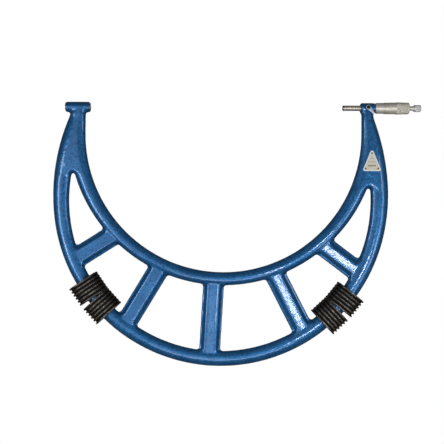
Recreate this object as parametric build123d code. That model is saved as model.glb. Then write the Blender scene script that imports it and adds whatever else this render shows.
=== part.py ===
from build123d import *
import math
import os

# Outside micrometer with a cast C-frame for interchangeable anvils, 300 to 400 mm.
# Millimetres. X runs along the measuring axis from the anvil boss to the head, Z is up out of
# the frame's face, and the origin is the middle of the anvil boss on the measuring axis.

os.makedirs("parts", exist_ok=True)

# Frame casting: the bosses on the measuring axis
boss_diameter = 16.0
anvil_boss_length = 36.6
head_boss_length = 22.2
throat_gap = 404.9
boss_edge_round = 1.2
boss_root_round = 3.0

# Frame casting: throat, which is relieved behind both bosses
throat_relief = 4.25
throat_shift = 2.45
throat_drop = 39.9

# Frame casting: outline arcs, each tangent to the one before and flatter than it
frame_depth = 140.9
rim_centre_drop = 96.8
rim_centre_shift = 3.9
rim_left_flattening = 45.9
rim_right_flattening = 27.2
arm_right_flattening = 53.0
left_join_angle = 187.0
right_join_angle = -12.0
arm_join_angle = 4.5
neck_drop = 26.0
neck_width = 14.8

# Frame casting: the crescent that lies between the two rims
inner_rim_bottom_width = 20.0
inner_rim_rise = 5.9
outer_rim_bottom_width = 22.5
outer_rim_drop = 2.4
outer_rim_shift = 1.1
crotch_radius = 2.6

# Frame casting: section
rim_thickness = 15.0
rim_edge_round = 7.0
spoke_thickness = 11.0
spoke_width = 32.0
spoke_flat_band = 3.0
spoke_slope_width = 8.0
spoke_edge_round = 3.0
window_corner_radius = 5.0
spoke_hub_shift = 4.0
spoke_hub_drop = 50.6
spoke_angles = [-147.7, -121.1, -93.2, -62.7, -36.9]
web_overlap = 1.0
web_inset = 4.0
cut_margin = 0.5

# Anvil bush
anvil_bore_diameter = 10.0
anvil_bush_wall = 1.4
bush_chamfer = 0.4

# Grips
grip_edge_distance = 11.6
grip_pair_angles = {"left": 218.5, "right": -42.8}
grip_half_spread = 4.0
grip_length = 29.4
grip_width = 47.5
grip_thickness = 38.0
grip_crown = 3.5
grip_corner_round = 8.0
grip_fin_count = 6
grip_fin_thickness = 2.7
grip_fin_depth = 3.0
grip_rim_clearance = 0.15
grip_split_gap = 0.1
grip_screw_diameter = 3.0
grip_screw_clearance = 0.1
grip_screw_head_diameter = 5.5
grip_screw_head_height = 2.2
grip_screw_offset = 16.8
grip_screw_bite = 9.0
grip_screw_head_round = 0.8
grip_screw_slot_width = 0.8
grip_screw_slot_depth = 0.8
grip_zone_drop = 80.0

# Nameplate and its rivets
plate_base_width = 26.0
plate_height = 30.5
plate_thickness = 0.8
plate_corner_radius = 2.6
plate_shift = 0.4
plate_drop = 94.7
rivet_shank_diameter = 1.4
rivet_head_diameter = 2.3
rivet_head_height = 0.5
rivet_depth = 4.0
rivet_inset = 1.2
rivet_clearance = 0.03
rivet_head_round = 0.3
rivet_hole_spare = 0.2

# Head: guide, sleeve and nut
spindle_diameter = 8.0
spindle_reach = 26.2
spindle_clearance = 0.015
tip_length = 1.5
tip_chamfer = 0.2
stem_diameter = 11.0
stem_guide_length = 24.0
stem_relief_diameter = 9.0
stem_overlap_rear = 6.5
nut_length = 12.0
screw_major_diameter = 7.4
screw_clearance = 0.06
travel = 25.0
travel_reserve = 2.0
screw_shoulder_length = 1.0
cone_shoulder_length = 0.5
sleeve_diameter = 16.0
sleeve_length = 38.6
sleeve_fit = 0.03
sleeve_chamfer = 1.8
adjusting_nut_length = 5.0
adjusting_nut_diameter = 14.0
adjusting_nut_gap = 0.6
adjusting_nut_notch = 2.0
stem_slot_width = 0.8
stem_slot_length = 10.0
stem_slot_count = 3

# Head: thimble
thimble_start = 13.2
thimble_length = 36.9
thimble_bore_clearance = 0.15
thimble_lip = 0.25
thimble_bevel_length = 9.0
thimble_front_diameter = 17.2
thimble_smooth_length = 16.8
thimble_grip_diameter = 18.1
thimble_end_diameter = 17.3
thimble_step = 1.0
thimble_end_wall = 4.0
thimble_end_chamfer = 0.6
cone_large_diameter = 7.0
cone_small_diameter = 6.2

# Head: ratchet
neck_diameter = 8.2
neck_length = 8.0
neck_flange = 1.0
neck_waist = 0.7
ratchet_stem_diameter = 4.0
ratchet_stem_depth = 6.0
knob_diameter = 10.5
knob_length = 10.4
knob_wall = 1.4
knob_end_wall = 2.2
knob_round = 1.6
knob_chamfer = 0.4
knob_flutes = 24
knob_flute_depth = 0.35
knob_flute_start = 0.8
knob_gap = 0.1
disc_thickness = 1.6
tooth_count = 12
tooth_height = 0.7
ratchet_clearance = 0.05
spring_wire = 0.6
spring_turns = 3
ratchet_screw_head_diameter = 5.6
ratchet_screw_head_height = 1.2
ratchet_screw_diameter = 2.0
ratchet_screw_bite = 2.5
ratchet_screw_hole_depth = 3.0
ratchet_screw_sink = 0.1
ratchet_screw_slot_width = 0.8
ratchet_screw_slot_depth = 0.6

# Spindle lock
lock_offset = 10.3
lock_hub_diameter = 7.2
lock_hub_height = 2.8
lock_hub_chamfer = 0.4
lock_lever_length = 11.0
lock_lever_width = 3.0
lock_lever_angle = -48.0
lock_tail_root_diameter = 5.8
lock_tail_drop = 0.3
lock_seat_depth = 0.6
lock_seat_clearance = 0.15
lock_seat_margin = 0.5
lock_screw_diameter = 4.0
lock_screw_clearance = 0.05
lock_head_height = 0.8
lock_head_overhang = 0.6
lock_head_round = 0.3
lock_socket_width = 2.5
lock_socket_depth = 1.6
lock_pad_diameter = 3.8
lock_pad_length = 2.2
lock_pad_gap = 0.03

# Sizes closer than this are taken as equal
near = 0.01

# Worked out from the values above
boss_radius = boss_diameter / 2
half_rim = rim_thickness / 2
half_spoke = spoke_thickness / 2
head_x = anvil_boss_length / 2 + throat_gap
head_back_x = head_x + head_boss_length
throat_radius = throat_gap / 2 + throat_relief
throat_centre_x = (anvil_boss_length + throat_gap) / 2 - throat_shift
throat_centre_y = -throat_drop
rim_centre_x = throat_centre_x - rim_centre_shift
rim_centre_y = throat_centre_y - rim_centre_drop
rim_bottom_radius = throat_radius + frame_depth - rim_centre_drop
rim_left_radius = rim_bottom_radius + rim_left_flattening
rim_right_radius = rim_bottom_radius + rim_right_flattening
arm_right_radius = rim_right_radius + arm_right_flattening
spoke_hub_x = throat_centre_x - spoke_hub_shift
spoke_hub_y = throat_centre_y - spoke_hub_drop
neck_outer_x = throat_centre_x + throat_radius + neck_width
plate_centre_x = neck_outer_x - plate_shift
plate_base_y = -plate_drop
grip_radius = rim_bottom_radius - grip_edge_distance
thimble_x = head_back_x + thimble_start
thimble_end_x = thimble_x + thimble_length
stem_end_x = head_back_x + sleeve_length + stem_overlap_rear
nut_start_x = stem_end_x - nut_length
shoulder_x = nut_start_x - travel - travel_reserve
neck_end_x = thimble_end_x + neck_length
knob_end_x = neck_end_x + knob_length
inner_rim_radius = throat_radius + inner_rim_bottom_width + inner_rim_rise
inner_rim_centre_y = throat_centre_y + inner_rim_rise
crescent_radius = rim_bottom_radius - outer_rim_bottom_width - outer_rim_drop
crescent_centre_y = rim_centre_y - outer_rim_drop


def polar(centre, radius, degrees):
    """Point at an angle and a distance from a centre."""
    angle = math.radians(degrees)
    return (centre[0] + radius * math.cos(angle), centre[1] + radius * math.sin(angle))


def slab(face, half_height):
    """Face extruded both ways from the frame's middle plane."""
    return extrude(face, amount=half_height, both=True)


def turned(points):
    """Solid turned about the measuring axis from (x, radius) points."""
    return revolve(Plane.XY * make_face(Polyline(*points, close=True)), Axis.X, 360)


def bar_x(start, end, radius):
    """Round bar along the measuring axis."""
    return Pos((start + end) / 2, 0, 0) * Rot(0, 90, 0) * Cylinder(radius, end - start)


def outline_face(grow):
    """Everything inside the frame's outer edge, below the measuring axis."""
    bottom = (rim_centre_x, rim_centre_y)
    left = polar(bottom, rim_bottom_radius - rim_left_radius, left_join_angle)
    right = polar(bottom, rim_bottom_radius - rim_right_radius, right_join_angle)
    arm = polar(right, rim_right_radius - arm_right_radius, arm_join_angle)
    left_radius = rim_left_radius + grow
    arm_radius = arm_right_radius + grow
    left_top = 180 + math.degrees(math.asin(left[1] / left_radius))
    arm_top = math.degrees(math.asin((-neck_drop - arm[1]) / arm_radius))
    arm_end = polar(arm, arm_radius, arm_top)
    neck_top = (neck_outer_x + grow, 0)
    edges = [
        CenterArc(left, left_radius, left_top, left_join_angle - left_top),
        CenterArc(bottom, rim_bottom_radius + grow, left_join_angle,
                  360 + right_join_angle - left_join_angle),
        CenterArc(right, rim_right_radius + grow, right_join_angle,
                  arm_join_angle - right_join_angle),
        CenterArc(arm, arm_radius, arm_join_angle, arm_top - arm_join_angle),
        TangentArc(arm_end, neck_top, tangent=polar((0, 0), 1, arm_top + 90)),
        Line(neck_top, polar(left, left_radius, left_top)),
    ]
    return make_face(edges)


def throat_face(grow):
    """Throat: a round bottom with straight sides up past the measuring axis."""
    radius = throat_radius + grow
    rise = boss_diameter - throat_centre_y
    circle = Pos(throat_centre_x, throat_centre_y) * Circle(radius)
    sides = Pos(throat_centre_x, throat_centre_y + rise / 2) * Rectangle(2 * radius, rise)
    return circle + sides


def crescent_face(grow):
    """Space between the rims, pointed at both ends."""
    outer = Pos(rim_centre_x - outer_rim_shift, crescent_centre_y) * Circle(crescent_radius + grow)
    inner = Pos(throat_centre_x, inner_rim_centre_y) * Circle(inner_rim_radius - grow)
    return outer - inner


def rim_blank(grow):
    """Both rims and both arms as one slab whose edges are all rounded."""
    crescent = crescent_face(-grow)
    crescent = fillet(crescent.vertices(), crotch_radius)
    half_height = half_rim + grow
    blank = slab(outline_face(grow) - throat_face(-grow) - crescent, half_height)
    rims = [
        edge for edge in blank.edges()
        if abs(abs(edge.center().Z) - half_height) < near and edge.center().Y < -near
    ]
    return fillet(rims, rim_edge_round)


def window_faces():
    """The six openings between the rims and the spokes, with rounded corners."""
    cells = crescent_face(web_overlap)
    reach = rim_bottom_radius
    for angle in spoke_angles:
        spoke = Pos(reach, 0) * Rectangle(1.5 * reach, spoke_width)
        cells = cells - Pos(spoke_hub_x, spoke_hub_y) * Rot(0, 0, angle) * spoke
    windows = cells.faces().sort_by(Axis.X)
    faces = []
    for window in windows:
        corners = window.vertices().sort_by(Axis.X)
        if window is windows[0]:
            corners = corners[1:]
        if window is windows[-1]:
            corners = corners[:-1]
        faces.append(window.fillet_2d(window_corner_radius, corners))
    return faces


def spoke_web():
    """Plate between the rims, cut by windows whose walls slope back to leave the spokes."""
    plate = slab(outline_face(-web_inset) - throat_face(web_inset), half_spoke)
    slope_rise = half_spoke - spoke_flat_band / 2
    slope = math.degrees(math.atan(spoke_slope_width / slope_rise))
    for window in window_faces():
        plate = plate - slab(window, spoke_flat_band / 2)
        lifted = Pos(0, 0, spoke_flat_band / 2) * window
        flare = extrude(lifted, amount=slope_rise + cut_margin, taper=-slope)
        plate = plate - flare - mirror(flare, Plane.XY)
    crests = [
        edge for edge in plate.edges().filter_by(GeomType.LINE)
        if abs(abs(edge.center().Z) - half_spoke) < near and edge.length > spoke_width
    ]
    return fillet(crests, spoke_edge_round)


def boss(start, length):
    """Round boss on the measuring axis."""
    bar = bar_x(start, start + length, boss_radius)
    return fillet(bar.edges().filter_by(GeomType.CIRCLE), boss_edge_round)


def rivet_places():
    """Where the three rivets stand, at the centres of the nameplate's round corners."""
    side = plate_base_width / 2 - plate_corner_radius - rivet_inset
    low = plate_base_y + plate_corner_radius + rivet_inset
    return [
        (plate_centre_x, plate_base_y + plate_height - plate_corner_radius - rivet_inset),
        (plate_centre_x - side, low),
        (plate_centre_x + side, low),
    ]


def frame_casting():
    """C-frame: rims, arms, spokes and bosses as one casting, then machined."""
    arms = rim_blank(0) + spoke_web()
    bosses = boss(-anvil_boss_length / 2, anvil_boss_length) + boss(head_x, head_boss_length)
    casting = arms + bosses
    roots = new_edges(arms, bosses, combined=casting).filter_by(GeomType.LINE, reverse=True)
    casting = fillet(roots, boss_root_round)
    bush_radius = anvil_bore_diameter / 2 + anvil_bush_wall
    casting = casting - bar_x(-anvil_boss_length, anvil_boss_length, bush_radius)
    casting = casting - bar_x(head_x - cut_margin, head_back_x + cut_margin, stem_diameter / 2)
    casting = casting - lock_bore()
    rivet_hole = Cylinder(rivet_shank_diameter / 2 + rivet_clearance, 2 * rivet_depth)
    for place in rivet_places():
        casting = casting - Pos(place[0], place[1], half_rim) * rivet_hole
    return casting


def lock_x():
    """Distance of the lock's axis along the measuring axis."""
    return head_x + lock_offset


def lock_bore():
    """Screw hole through the boss wall, and the flat that the lever turns on."""
    hole_radius = lock_screw_diameter / 2 + lock_screw_clearance
    hole = Pos(lock_x(), 0, boss_radius) * Cylinder(hole_radius, boss_diameter)
    seat_z = boss_radius - lock_seat_depth
    seat_radius = lock_hub_diameter / 2 + lock_seat_margin
    seat = Pos(lock_x(), 0, seat_z + boss_radius / 2) * Cylinder(seat_radius, boss_radius)
    return hole + seat


def anvil_bush():
    """Steel bush that guides the interchangeable anvils."""
    half = anvil_boss_length / 2
    inner = anvil_bore_diameter / 2
    outer = inner + anvil_bush_wall
    return turned([
        (-half, inner + bush_chamfer),
        (-half, outer),
        (half, outer),
        (half, inner + bush_chamfer),
        (half - bush_chamfer, inner),
        (bush_chamfer - half, inner),
    ])


def grip_section(inset):
    """Closed section of a grip block across the rim: crowned faces and rounded corners."""
    half_width = grip_width / 2 - inset
    middle = grip_thickness / 2 - inset
    side = middle - grip_crown
    outline = make_face([
        Line((-half_width, -side), (-half_width, side)),
        ThreePointArc((-half_width, side), (0, middle), (half_width, side)),
        Line((half_width, side), (half_width, -side)),
        ThreePointArc((half_width, -side), (0, -middle), (-half_width, -side)),
    ])
    return fillet(outline.vertices(), grip_corner_round - inset)


def grip_block():
    """Ribbed block about its own middle: X across the rim, Y along it."""
    across = Plane(origin=(0, 0, 0), x_dir=(1, 0, 0), z_dir=(0, 1, 0))
    core = extrude(across * grip_section(grip_fin_depth), amount=grip_length / 2, both=True)
    pitch = (grip_length - grip_fin_thickness) / (grip_fin_count - 1)
    fin = extrude(across * grip_section(0), amount=grip_fin_thickness / 2, both=True)
    for index in range(grip_fin_count):
        core = core + Pos(0, (index - (grip_fin_count - 1) / 2) * pitch, 0) * fin
    return core


def grip_place(angle):
    """Where a grip block sits on the outer rim."""
    centre = polar((rim_centre_x, rim_centre_y), grip_radius, angle)
    return Pos(centre[0], centre[1], 0) * Rot(0, 0, angle)


def grip_screw_cut():
    """Clearance of one grip screw: counterbore at the back, blind hole into the front half."""
    radius = grip_screw_diameter / 2 + grip_screw_clearance
    head_radius = grip_screw_head_diameter / 2 + grip_screw_clearance
    length = grip_screw_length() + 2 * grip_screw_clearance
    hole = Pos(0, 0, grip_screw_bite + grip_screw_clearance - length / 2) * Cylinder(radius, length)
    mouth = Pos(0, 0, grip_head_z() - grip_thickness / 2) * Cylinder(head_radius, grip_thickness)
    return hole + mouth


def grip_head_z():
    """Level that a grip screw's head bears on."""
    return grip_crown + grip_fin_depth + grip_screw_head_height - grip_thickness / 2


def grip_screw_length():
    """Length of a grip screw under its head."""
    return grip_screw_bite - grip_head_z()


def grip_screw():
    """Round-headed screw, pointing up out of the back half."""
    head_z = grip_head_z()
    length = grip_screw_length()
    shank = Pos(0, 0, head_z + length / 2) * Cylinder(grip_screw_diameter / 2, length)
    head = Cylinder(grip_screw_head_diameter / 2, grip_screw_head_height)
    head = fillet(head.edges().filter_by(GeomType.CIRCLE).sort_by(Axis.Z)[0], grip_screw_head_round)
    slot = Box(grip_screw_head_diameter, grip_screw_slot_width, 2 * grip_screw_slot_depth)
    head = head - Pos(0, 0, -grip_screw_head_height / 2) * slot
    return shank + Pos(0, 0, head_z - grip_screw_head_height / 2) * head


def rim_tunnel():
    """Lower part of the frame, grown by the clearance that the grips leave round it."""
    zone = 2 * rim_bottom_radius
    low = Pos(rim_centre_x, rim_centre_y - grip_zone_drop - zone / 2, 0)
    return rim_blank(grip_rim_clearance) & low * Box(2 * zone, zone, 2 * grip_thickness)


def grip_halves(angle, tunnel):
    """Front and back half of the grip block at an angle on the rim."""
    place = grip_place(angle)
    block = grip_block()
    for side in (-1, 1):
        block = block - Pos(side * grip_screw_offset, 0, 0) * grip_screw_cut()
    block = place * block - tunnel
    half = Box(2 * grip_width, 2 * grip_width, grip_thickness)
    lift = (grip_thickness + grip_split_gap) / 2
    front = block & (place * Pos(0, 0, lift) * half)
    back = block & (place * Pos(0, 0, -lift) * half)
    return front, back


def nameplate():
    """Bare three-cornered plate on the right arm."""
    side = plate_base_width / 2 - plate_corner_radius
    corner = Circle(plate_corner_radius)
    shape = make_hull([
        *(Pos(-side, plate_corner_radius) * corner).edges(),
        *(Pos(side, plate_corner_radius) * corner).edges(),
        *(Pos(0, plate_height - plate_corner_radius) * corner).edges(),
    ])
    plate = Pos(plate_centre_x, plate_base_y, half_rim) * extrude(shape, amount=plate_thickness)
    hole = Cylinder(rivet_shank_diameter / 2 + rivet_clearance, 4 * plate_thickness)
    for place in rivet_places():
        plate = plate - Pos(place[0], place[1], half_rim) * hole
    return plate


def nameplate_rivets():
    """Three domed rivets."""
    head_z = half_rim + plate_thickness
    length = plate_thickness + rivet_depth - rivet_hole_spare
    shank = Pos(0, 0, head_z - length / 2) * Cylinder(rivet_shank_diameter / 2, length)
    head = Cylinder(rivet_head_diameter / 2, rivet_head_height)
    head = fillet(head.edges().filter_by(GeomType.CIRCLE).sort_by(Axis.Z)[-1], rivet_head_round)
    rivet = shank + Pos(0, 0, head_z + rivet_head_height / 2) * head
    return Compound(children=[Pos(x, y, 0) * rivet for x, y in rivet_places()])


def inner_sleeve():
    """Stem pressed into the head's boss: spindle guide in front, split nut behind."""
    outer = stem_diameter / 2
    guide = spindle_diameter / 2 + spindle_clearance
    relief = stem_relief_diameter / 2
    nut = screw_major_diameter / 2 + screw_clearance
    guide_end = head_x + stem_guide_length
    stem = turned([
        (head_x, guide + bush_chamfer),
        (head_x, outer),
        (stem_end_x, outer),
        (stem_end_x, nut),
        (nut_start_x, nut),
        (nut_start_x, relief),
        (guide_end, relief),
        (guide_end, guide),
        (head_x + bush_chamfer, guide),
    ])
    slot = Box(stem_slot_length, stem_slot_width, stem_diameter)
    slot = Pos(stem_end_x - stem_slot_length / 2, 0, stem_diameter / 2) * slot
    for index in range(stem_slot_count):
        stem = stem - Rot(index * 360 / stem_slot_count, 0, 0) * slot
    pad_hole = Cylinder(lock_pad_diameter / 2 + lock_screw_clearance, stem_diameter)
    return stem - Pos(lock_x(), 0, stem_diameter / 2) * pad_hole


def graduated_sleeve():
    """Sleeve with the main scale, over the stem."""
    inner = stem_diameter / 2 + sleeve_fit
    outer = sleeve_diameter / 2
    end = head_back_x + sleeve_length
    return turned([
        (head_back_x, inner),
        (head_back_x, outer - sleeve_chamfer / 2),
        (head_back_x + sleeve_chamfer, outer),
        (end, outer),
        (end, inner),
    ])


def adjusting_nut():
    """Ring nut that closes the split end of the stem on the spindle's thread."""
    start = head_back_x + sleeve_length + adjusting_nut_gap
    end = start + adjusting_nut_length
    inner = stem_diameter / 2 + sleeve_fit
    outer = adjusting_nut_diameter / 2
    ring = turned([(start, inner), (start, outer), (end, outer), (end, inner)])
    side = adjusting_nut_notch
    notch = Pos(start + adjusting_nut_length / 2, 0, outer) * Box(side, side, side)
    return ring - notch - Rot(180, 0, 0) * notch


def spindle():
    """Ground bar, screw thread and the cone that carries the thimble."""
    start = head_x - spindle_reach + tip_length
    bar = spindle_diameter / 2
    screw = screw_major_diameter / 2
    cone_start = thimble_end_x - thimble_end_wall
    large = cone_large_diameter / 2
    small = cone_small_diameter / 2
    bore = ratchet_stem_diameter / 2 + ratchet_clearance
    bore_end = thimble_end_x - ratchet_stem_depth - ratchet_clearance
    return turned([
        (start, 0),
        (start, bar),
        (shoulder_x - screw_shoulder_length, bar),
        (shoulder_x, screw),
        (cone_start - cone_shoulder_length, screw),
        (cone_start, large),
        (thimble_end_x, small),
        (thimble_end_x, bore),
        (bore_end, bore),
        (bore_end, 0),
    ])


def spindle_tip():
    """Hard measuring face on the end of the spindle."""
    start = head_x - spindle_reach
    radius = spindle_diameter / 2
    return turned([
        (start, 0),
        (start, radius - tip_chamfer),
        (start + tip_chamfer, radius),
        (start + tip_length, radius),
        (start + tip_length, 0),
    ])


def thimble():
    """Thimble: bevelled front, smooth barrel, thicker grip behind and a coned end wall."""
    bore = sleeve_diameter / 2 + thimble_bore_clearance
    front = thimble_front_diameter / 2
    grip_x = thimble_x + thimble_smooth_length
    wall_x = thimble_end_x - thimble_end_wall
    return turned([
        (thimble_x, bore),
        (thimble_x, bore + thimble_lip),
        (thimble_x + thimble_bevel_length, front),
        (grip_x, front),
        (grip_x + thimble_step, thimble_grip_diameter / 2),
        (thimble_end_x - thimble_end_chamfer, thimble_end_diameter / 2),
        (thimble_end_x, thimble_end_diameter / 2 - thimble_end_chamfer),
        (thimble_end_x, cone_small_diameter / 2),
        (wall_x, cone_large_diameter / 2),
        (wall_x, bore),
    ])


def ratchet_body():
    """Neck behind the thimble, screwed into the spindle, with the post that the knob turns on."""
    stem = ratchet_stem_diameter / 2
    flange = neck_diameter / 2
    waist = flange - neck_waist
    post_end = knob_end_x - knob_end_wall
    neck = turned([
        (thimble_end_x - ratchet_stem_depth, 0),
        (thimble_end_x - ratchet_stem_depth, stem),
        (thimble_end_x, stem),
        (thimble_end_x, flange),
        (thimble_end_x + neck_flange, flange),
        (thimble_end_x + 2 * neck_flange, waist),
        (neck_end_x - 2 * neck_flange, waist),
        (neck_end_x - neck_flange, flange),
        (neck_end_x, flange),
        (neck_end_x, stem),
        (post_end, stem),
        (post_end, 0),
    ])
    hole_start = post_end - ratchet_screw_hole_depth
    return neck - bar_x(hole_start, post_end, ratchet_screw_diameter / 2)


def saw_teeth(start, direction, inner, outer):
    """Ring of saw teeth about the measuring axis, on a face that looks along +X (1) or -X (-1)."""
    step = 360 / tooth_count
    side = outer * math.tan(math.radians(step / 2))
    wedge = make_face(Polyline((-side, 0), (side, 0), (side, tooth_height), close=True))
    tooth = extrude(wedge, amount=outer)
    ring = bar_x(start - tooth_height, start + tooth_height, outer)
    ring = ring - bar_x(start - 2 * tooth_height, start + 2 * tooth_height, inner)
    stand = Plane(origin=(start, 0, 0), x_dir=(0, -direction, 0), z_dir=(0, 0, 1))
    teeth = None
    for index in range(tooth_count):
        turned_tooth = Rot(index * step, 0, 0) * (stand * tooth)
        teeth = turned_tooth if teeth is None else teeth + turned_tooth
    return teeth & ring


def ratchet_knob():
    """Hollow knurled knob, free to turn on the neck's post."""
    outer = knob_diameter / 2
    hollow = outer - knob_wall
    stem = ratchet_stem_diameter / 2 + ratchet_clearance
    head = ratchet_screw_head_diameter / 2 + ratchet_clearance
    start = neck_end_x + knob_gap
    middle = (start + knob_end_x) / 2
    end_wall_x = knob_end_x - knob_end_wall
    shell = turned([
        (start, hollow),
        (start, outer - knob_chamfer),
        (start + knob_chamfer, outer),
        (knob_end_x, outer),
        (knob_end_x, head),
        (knob_end_x - ratchet_screw_head_height, head),
        (knob_end_x - ratchet_screw_head_height, stem),
        (end_wall_x, stem),
        (end_wall_x, hollow),
    ])
    rim = shell.edges().filter_by(GeomType.CIRCLE)
    rim = [edge for edge in rim if abs(edge.radius - outer) < near and edge.center().X > middle]
    shell = fillet(rim, knob_round)
    flute = bar_x(start + knob_flute_start, knob_end_x - knob_round, knob_flute_depth)
    for index in range(knob_flutes):
        shell = shell - Rot(index * 360 / knob_flutes, 0, 0) * Pos(0, 0, outer) * flute
    return shell


def ratchet_toothed_disc():
    """Disc with saw teeth, pressed on the neck's post inside the knob."""
    inner = ratchet_stem_diameter / 2
    outer = knob_diameter / 2 - knob_wall - 4 * ratchet_clearance
    start = neck_end_x
    end = start + disc_thickness
    disc = turned([(start, inner), (start, outer), (end, outer), (end, inner)])
    return disc + saw_teeth(end, 1, inner, outer)


def ratchet_pawl_ring():
    """Ring that turns with the knob, its teeth lifted onto the crests of the disc's teeth."""
    inner = ratchet_stem_diameter / 2 + ratchet_clearance
    outer = knob_diameter / 2 - knob_wall - ratchet_clearance
    start = neck_end_x + disc_thickness + 2 * tooth_height + ratchet_clearance
    end = start + disc_thickness
    ring = turned([(start, inner), (start, outer), (end, outer), (end, inner)])
    return ring + saw_teeth(start, -1, inner, outer)


def ratchet_spring():
    """Wire spring that presses the pawl ring on the toothed disc."""
    start = neck_end_x + 2 * disc_thickness + 2 * tooth_height + 2 * ratchet_clearance
    end = knob_end_x - knob_end_wall - ratchet_clearance
    radius = ratchet_stem_diameter / 2 + spring_wire
    pitch = (end - start - spring_wire) / spring_turns
    path = Helix(pitch=pitch, height=pitch * spring_turns, radius=radius)
    wire = sweep(Plane(origin=path @ 0, z_dir=path % 0) * Circle(spring_wire / 2), path=path)
    return Pos(start + spring_wire / 2, 0, 0) * Rot(0, 90, 0) * wire


def ratchet_screw():
    """Screw that holds the knob on its post."""
    seat_x = knob_end_x - ratchet_screw_head_height
    face_x = knob_end_x - ratchet_screw_sink
    shank_x = knob_end_x - knob_end_wall - ratchet_screw_bite
    head = bar_x(seat_x, face_x, ratchet_screw_head_diameter / 2)
    shank = bar_x(shank_x, seat_x, ratchet_screw_diameter / 2 - ratchet_clearance)
    slot = Box(2 * ratchet_screw_slot_depth, ratchet_screw_slot_width, ratchet_screw_head_diameter)
    return head + shank - Pos(face_x, 0, 0) * slot


def lock_lever():
    """Lever of the spindle lock: round hub and a tapering tail with a round end."""
    low = boss_radius - lock_seat_depth + lock_seat_clearance
    hub_radius = lock_hub_diameter / 2
    end_radius = lock_lever_width / 2
    hub = Pos(0, 0, low + lock_hub_height / 2) * Cylinder(hub_radius, lock_hub_height)
    hub = chamfer(hub.edges().filter_by(GeomType.CIRCLE).sort_by(Axis.Z)[-1], lock_hub_chamfer)
    tail = make_hull([
        *Circle(lock_tail_root_diameter / 2).edges(),
        *(Pos(lock_lever_length, 0) * Circle(end_radius)).edges(),
    ])
    clear = boss_radius + lock_seat_clearance
    tail_top = low + lock_hub_height - lock_tail_drop
    tail = extrude(Pos(0, 0, clear) * tail, amount=tail_top - clear)
    lever = hub + tail
    lever = lever - Pos(0, 0, low) * Cylinder(lock_screw_diameter / 2, 4 * lock_hub_height)
    return Pos(lock_x(), 0, 0) * Rot(0, 0, lock_lever_angle) * lever


def lock_screw():
    """Dark screw through the lever's hub, with a six-sided socket."""
    radius = lock_screw_diameter / 2
    low = spindle_diameter / 2 + lock_pad_gap + lock_pad_length + lock_screw_clearance
    high = boss_radius - lock_seat_depth + lock_seat_clearance + lock_hub_height
    shank = Pos(0, 0, (low + high) / 2) * Cylinder(radius, high - low)
    head = Pos(0, 0, high + lock_head_height / 2) * Cylinder(radius + lock_head_overhang, lock_head_height)
    head = fillet(head.edges().filter_by(GeomType.CIRCLE).sort_by(Axis.Z)[-1], lock_head_round)
    hexagon = RegularPolygon(lock_socket_width / 2, 6, major_radius=False)
    socket = extrude(hexagon, amount=2 * lock_socket_depth)
    screw = shank + head - Pos(0, 0, high + lock_head_height - lock_socket_depth) * socket
    return Pos(lock_x(), 0, 0) * screw


def lock_pad():
    """Soft pad that the lock screw presses on the spindle."""
    low = spindle_diameter / 2 + lock_pad_gap
    return Pos(lock_x(), 0, low + lock_pad_length / 2) * Cylinder(lock_pad_diameter / 2, lock_pad_length)


def grip_screws():
    """Two screws for each grip block."""
    screws = []
    for pair_angle in grip_pair_angles.values():
        for spread in (-grip_half_spread, grip_half_spread):
            for side in (-1, 1):
                place = grip_place(pair_angle + spread) * Pos(side * grip_screw_offset, 0, 0)
                screws.append(place * grip_screw())
    return Compound(children=screws)


def grip_nodes():
    """Every grip half by name."""
    tunnel = rim_tunnel()
    nodes = {}
    for side, pair_angle in grip_pair_angles.items():
        outward = -1 if side == "left" else 1
        for level, turn in (("upper", outward), ("lower", -outward)):
            front, back = grip_halves(pair_angle + turn * grip_half_spread, tunnel)
            nodes[f"grip_{side}_{level}_front"] = front
            nodes[f"grip_{side}_{level}_back"] = back
    return nodes


nodes = {
    "frame_casting": frame_casting(),
    "anvil_bush": anvil_bush(),
    "nameplate": nameplate(),
    "nameplate_rivets": nameplate_rivets(),
    "inner_sleeve": inner_sleeve(),
    "graduated_sleeve": graduated_sleeve(),
    "adjusting_nut": adjusting_nut(),
    "spindle": spindle(),
    "spindle_tip": spindle_tip(),
    "thimble": thimble(),
    "ratchet_body": ratchet_body(),
    "ratchet_toothed_disc": ratchet_toothed_disc(),
    "ratchet_pawl_ring": ratchet_pawl_ring(),
    "ratchet_spring": ratchet_spring(),
    "ratchet_knob": ratchet_knob(),
    "ratchet_screw": ratchet_screw(),
    "lock_lever": lock_lever(),
    "lock_screw": lock_screw(),
    "lock_pad": lock_pad(),
    "grip_screws": grip_screws(),
}
nodes.update(grip_nodes())

for name, piece in nodes.items():
    export_step(piece, f"parts/{name}.step")
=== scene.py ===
"""Looks of an outside micrometer with a spoked, cast C-frame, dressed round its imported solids.

Lengths are in metres. X runs along the measuring axis from the anvil boss to the head, Z is up
out of the frame's face, and the origin is the middle of the anvil boss on the measuring axis.
"""

import logging
import math
from contextlib import contextmanager
from dataclasses import dataclass
from enum import Enum
from typing import Callable, Iterator, Optional, Sequence

import bmesh
import bpy
import numpy as np
from mathutils import Matrix, Vector


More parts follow.
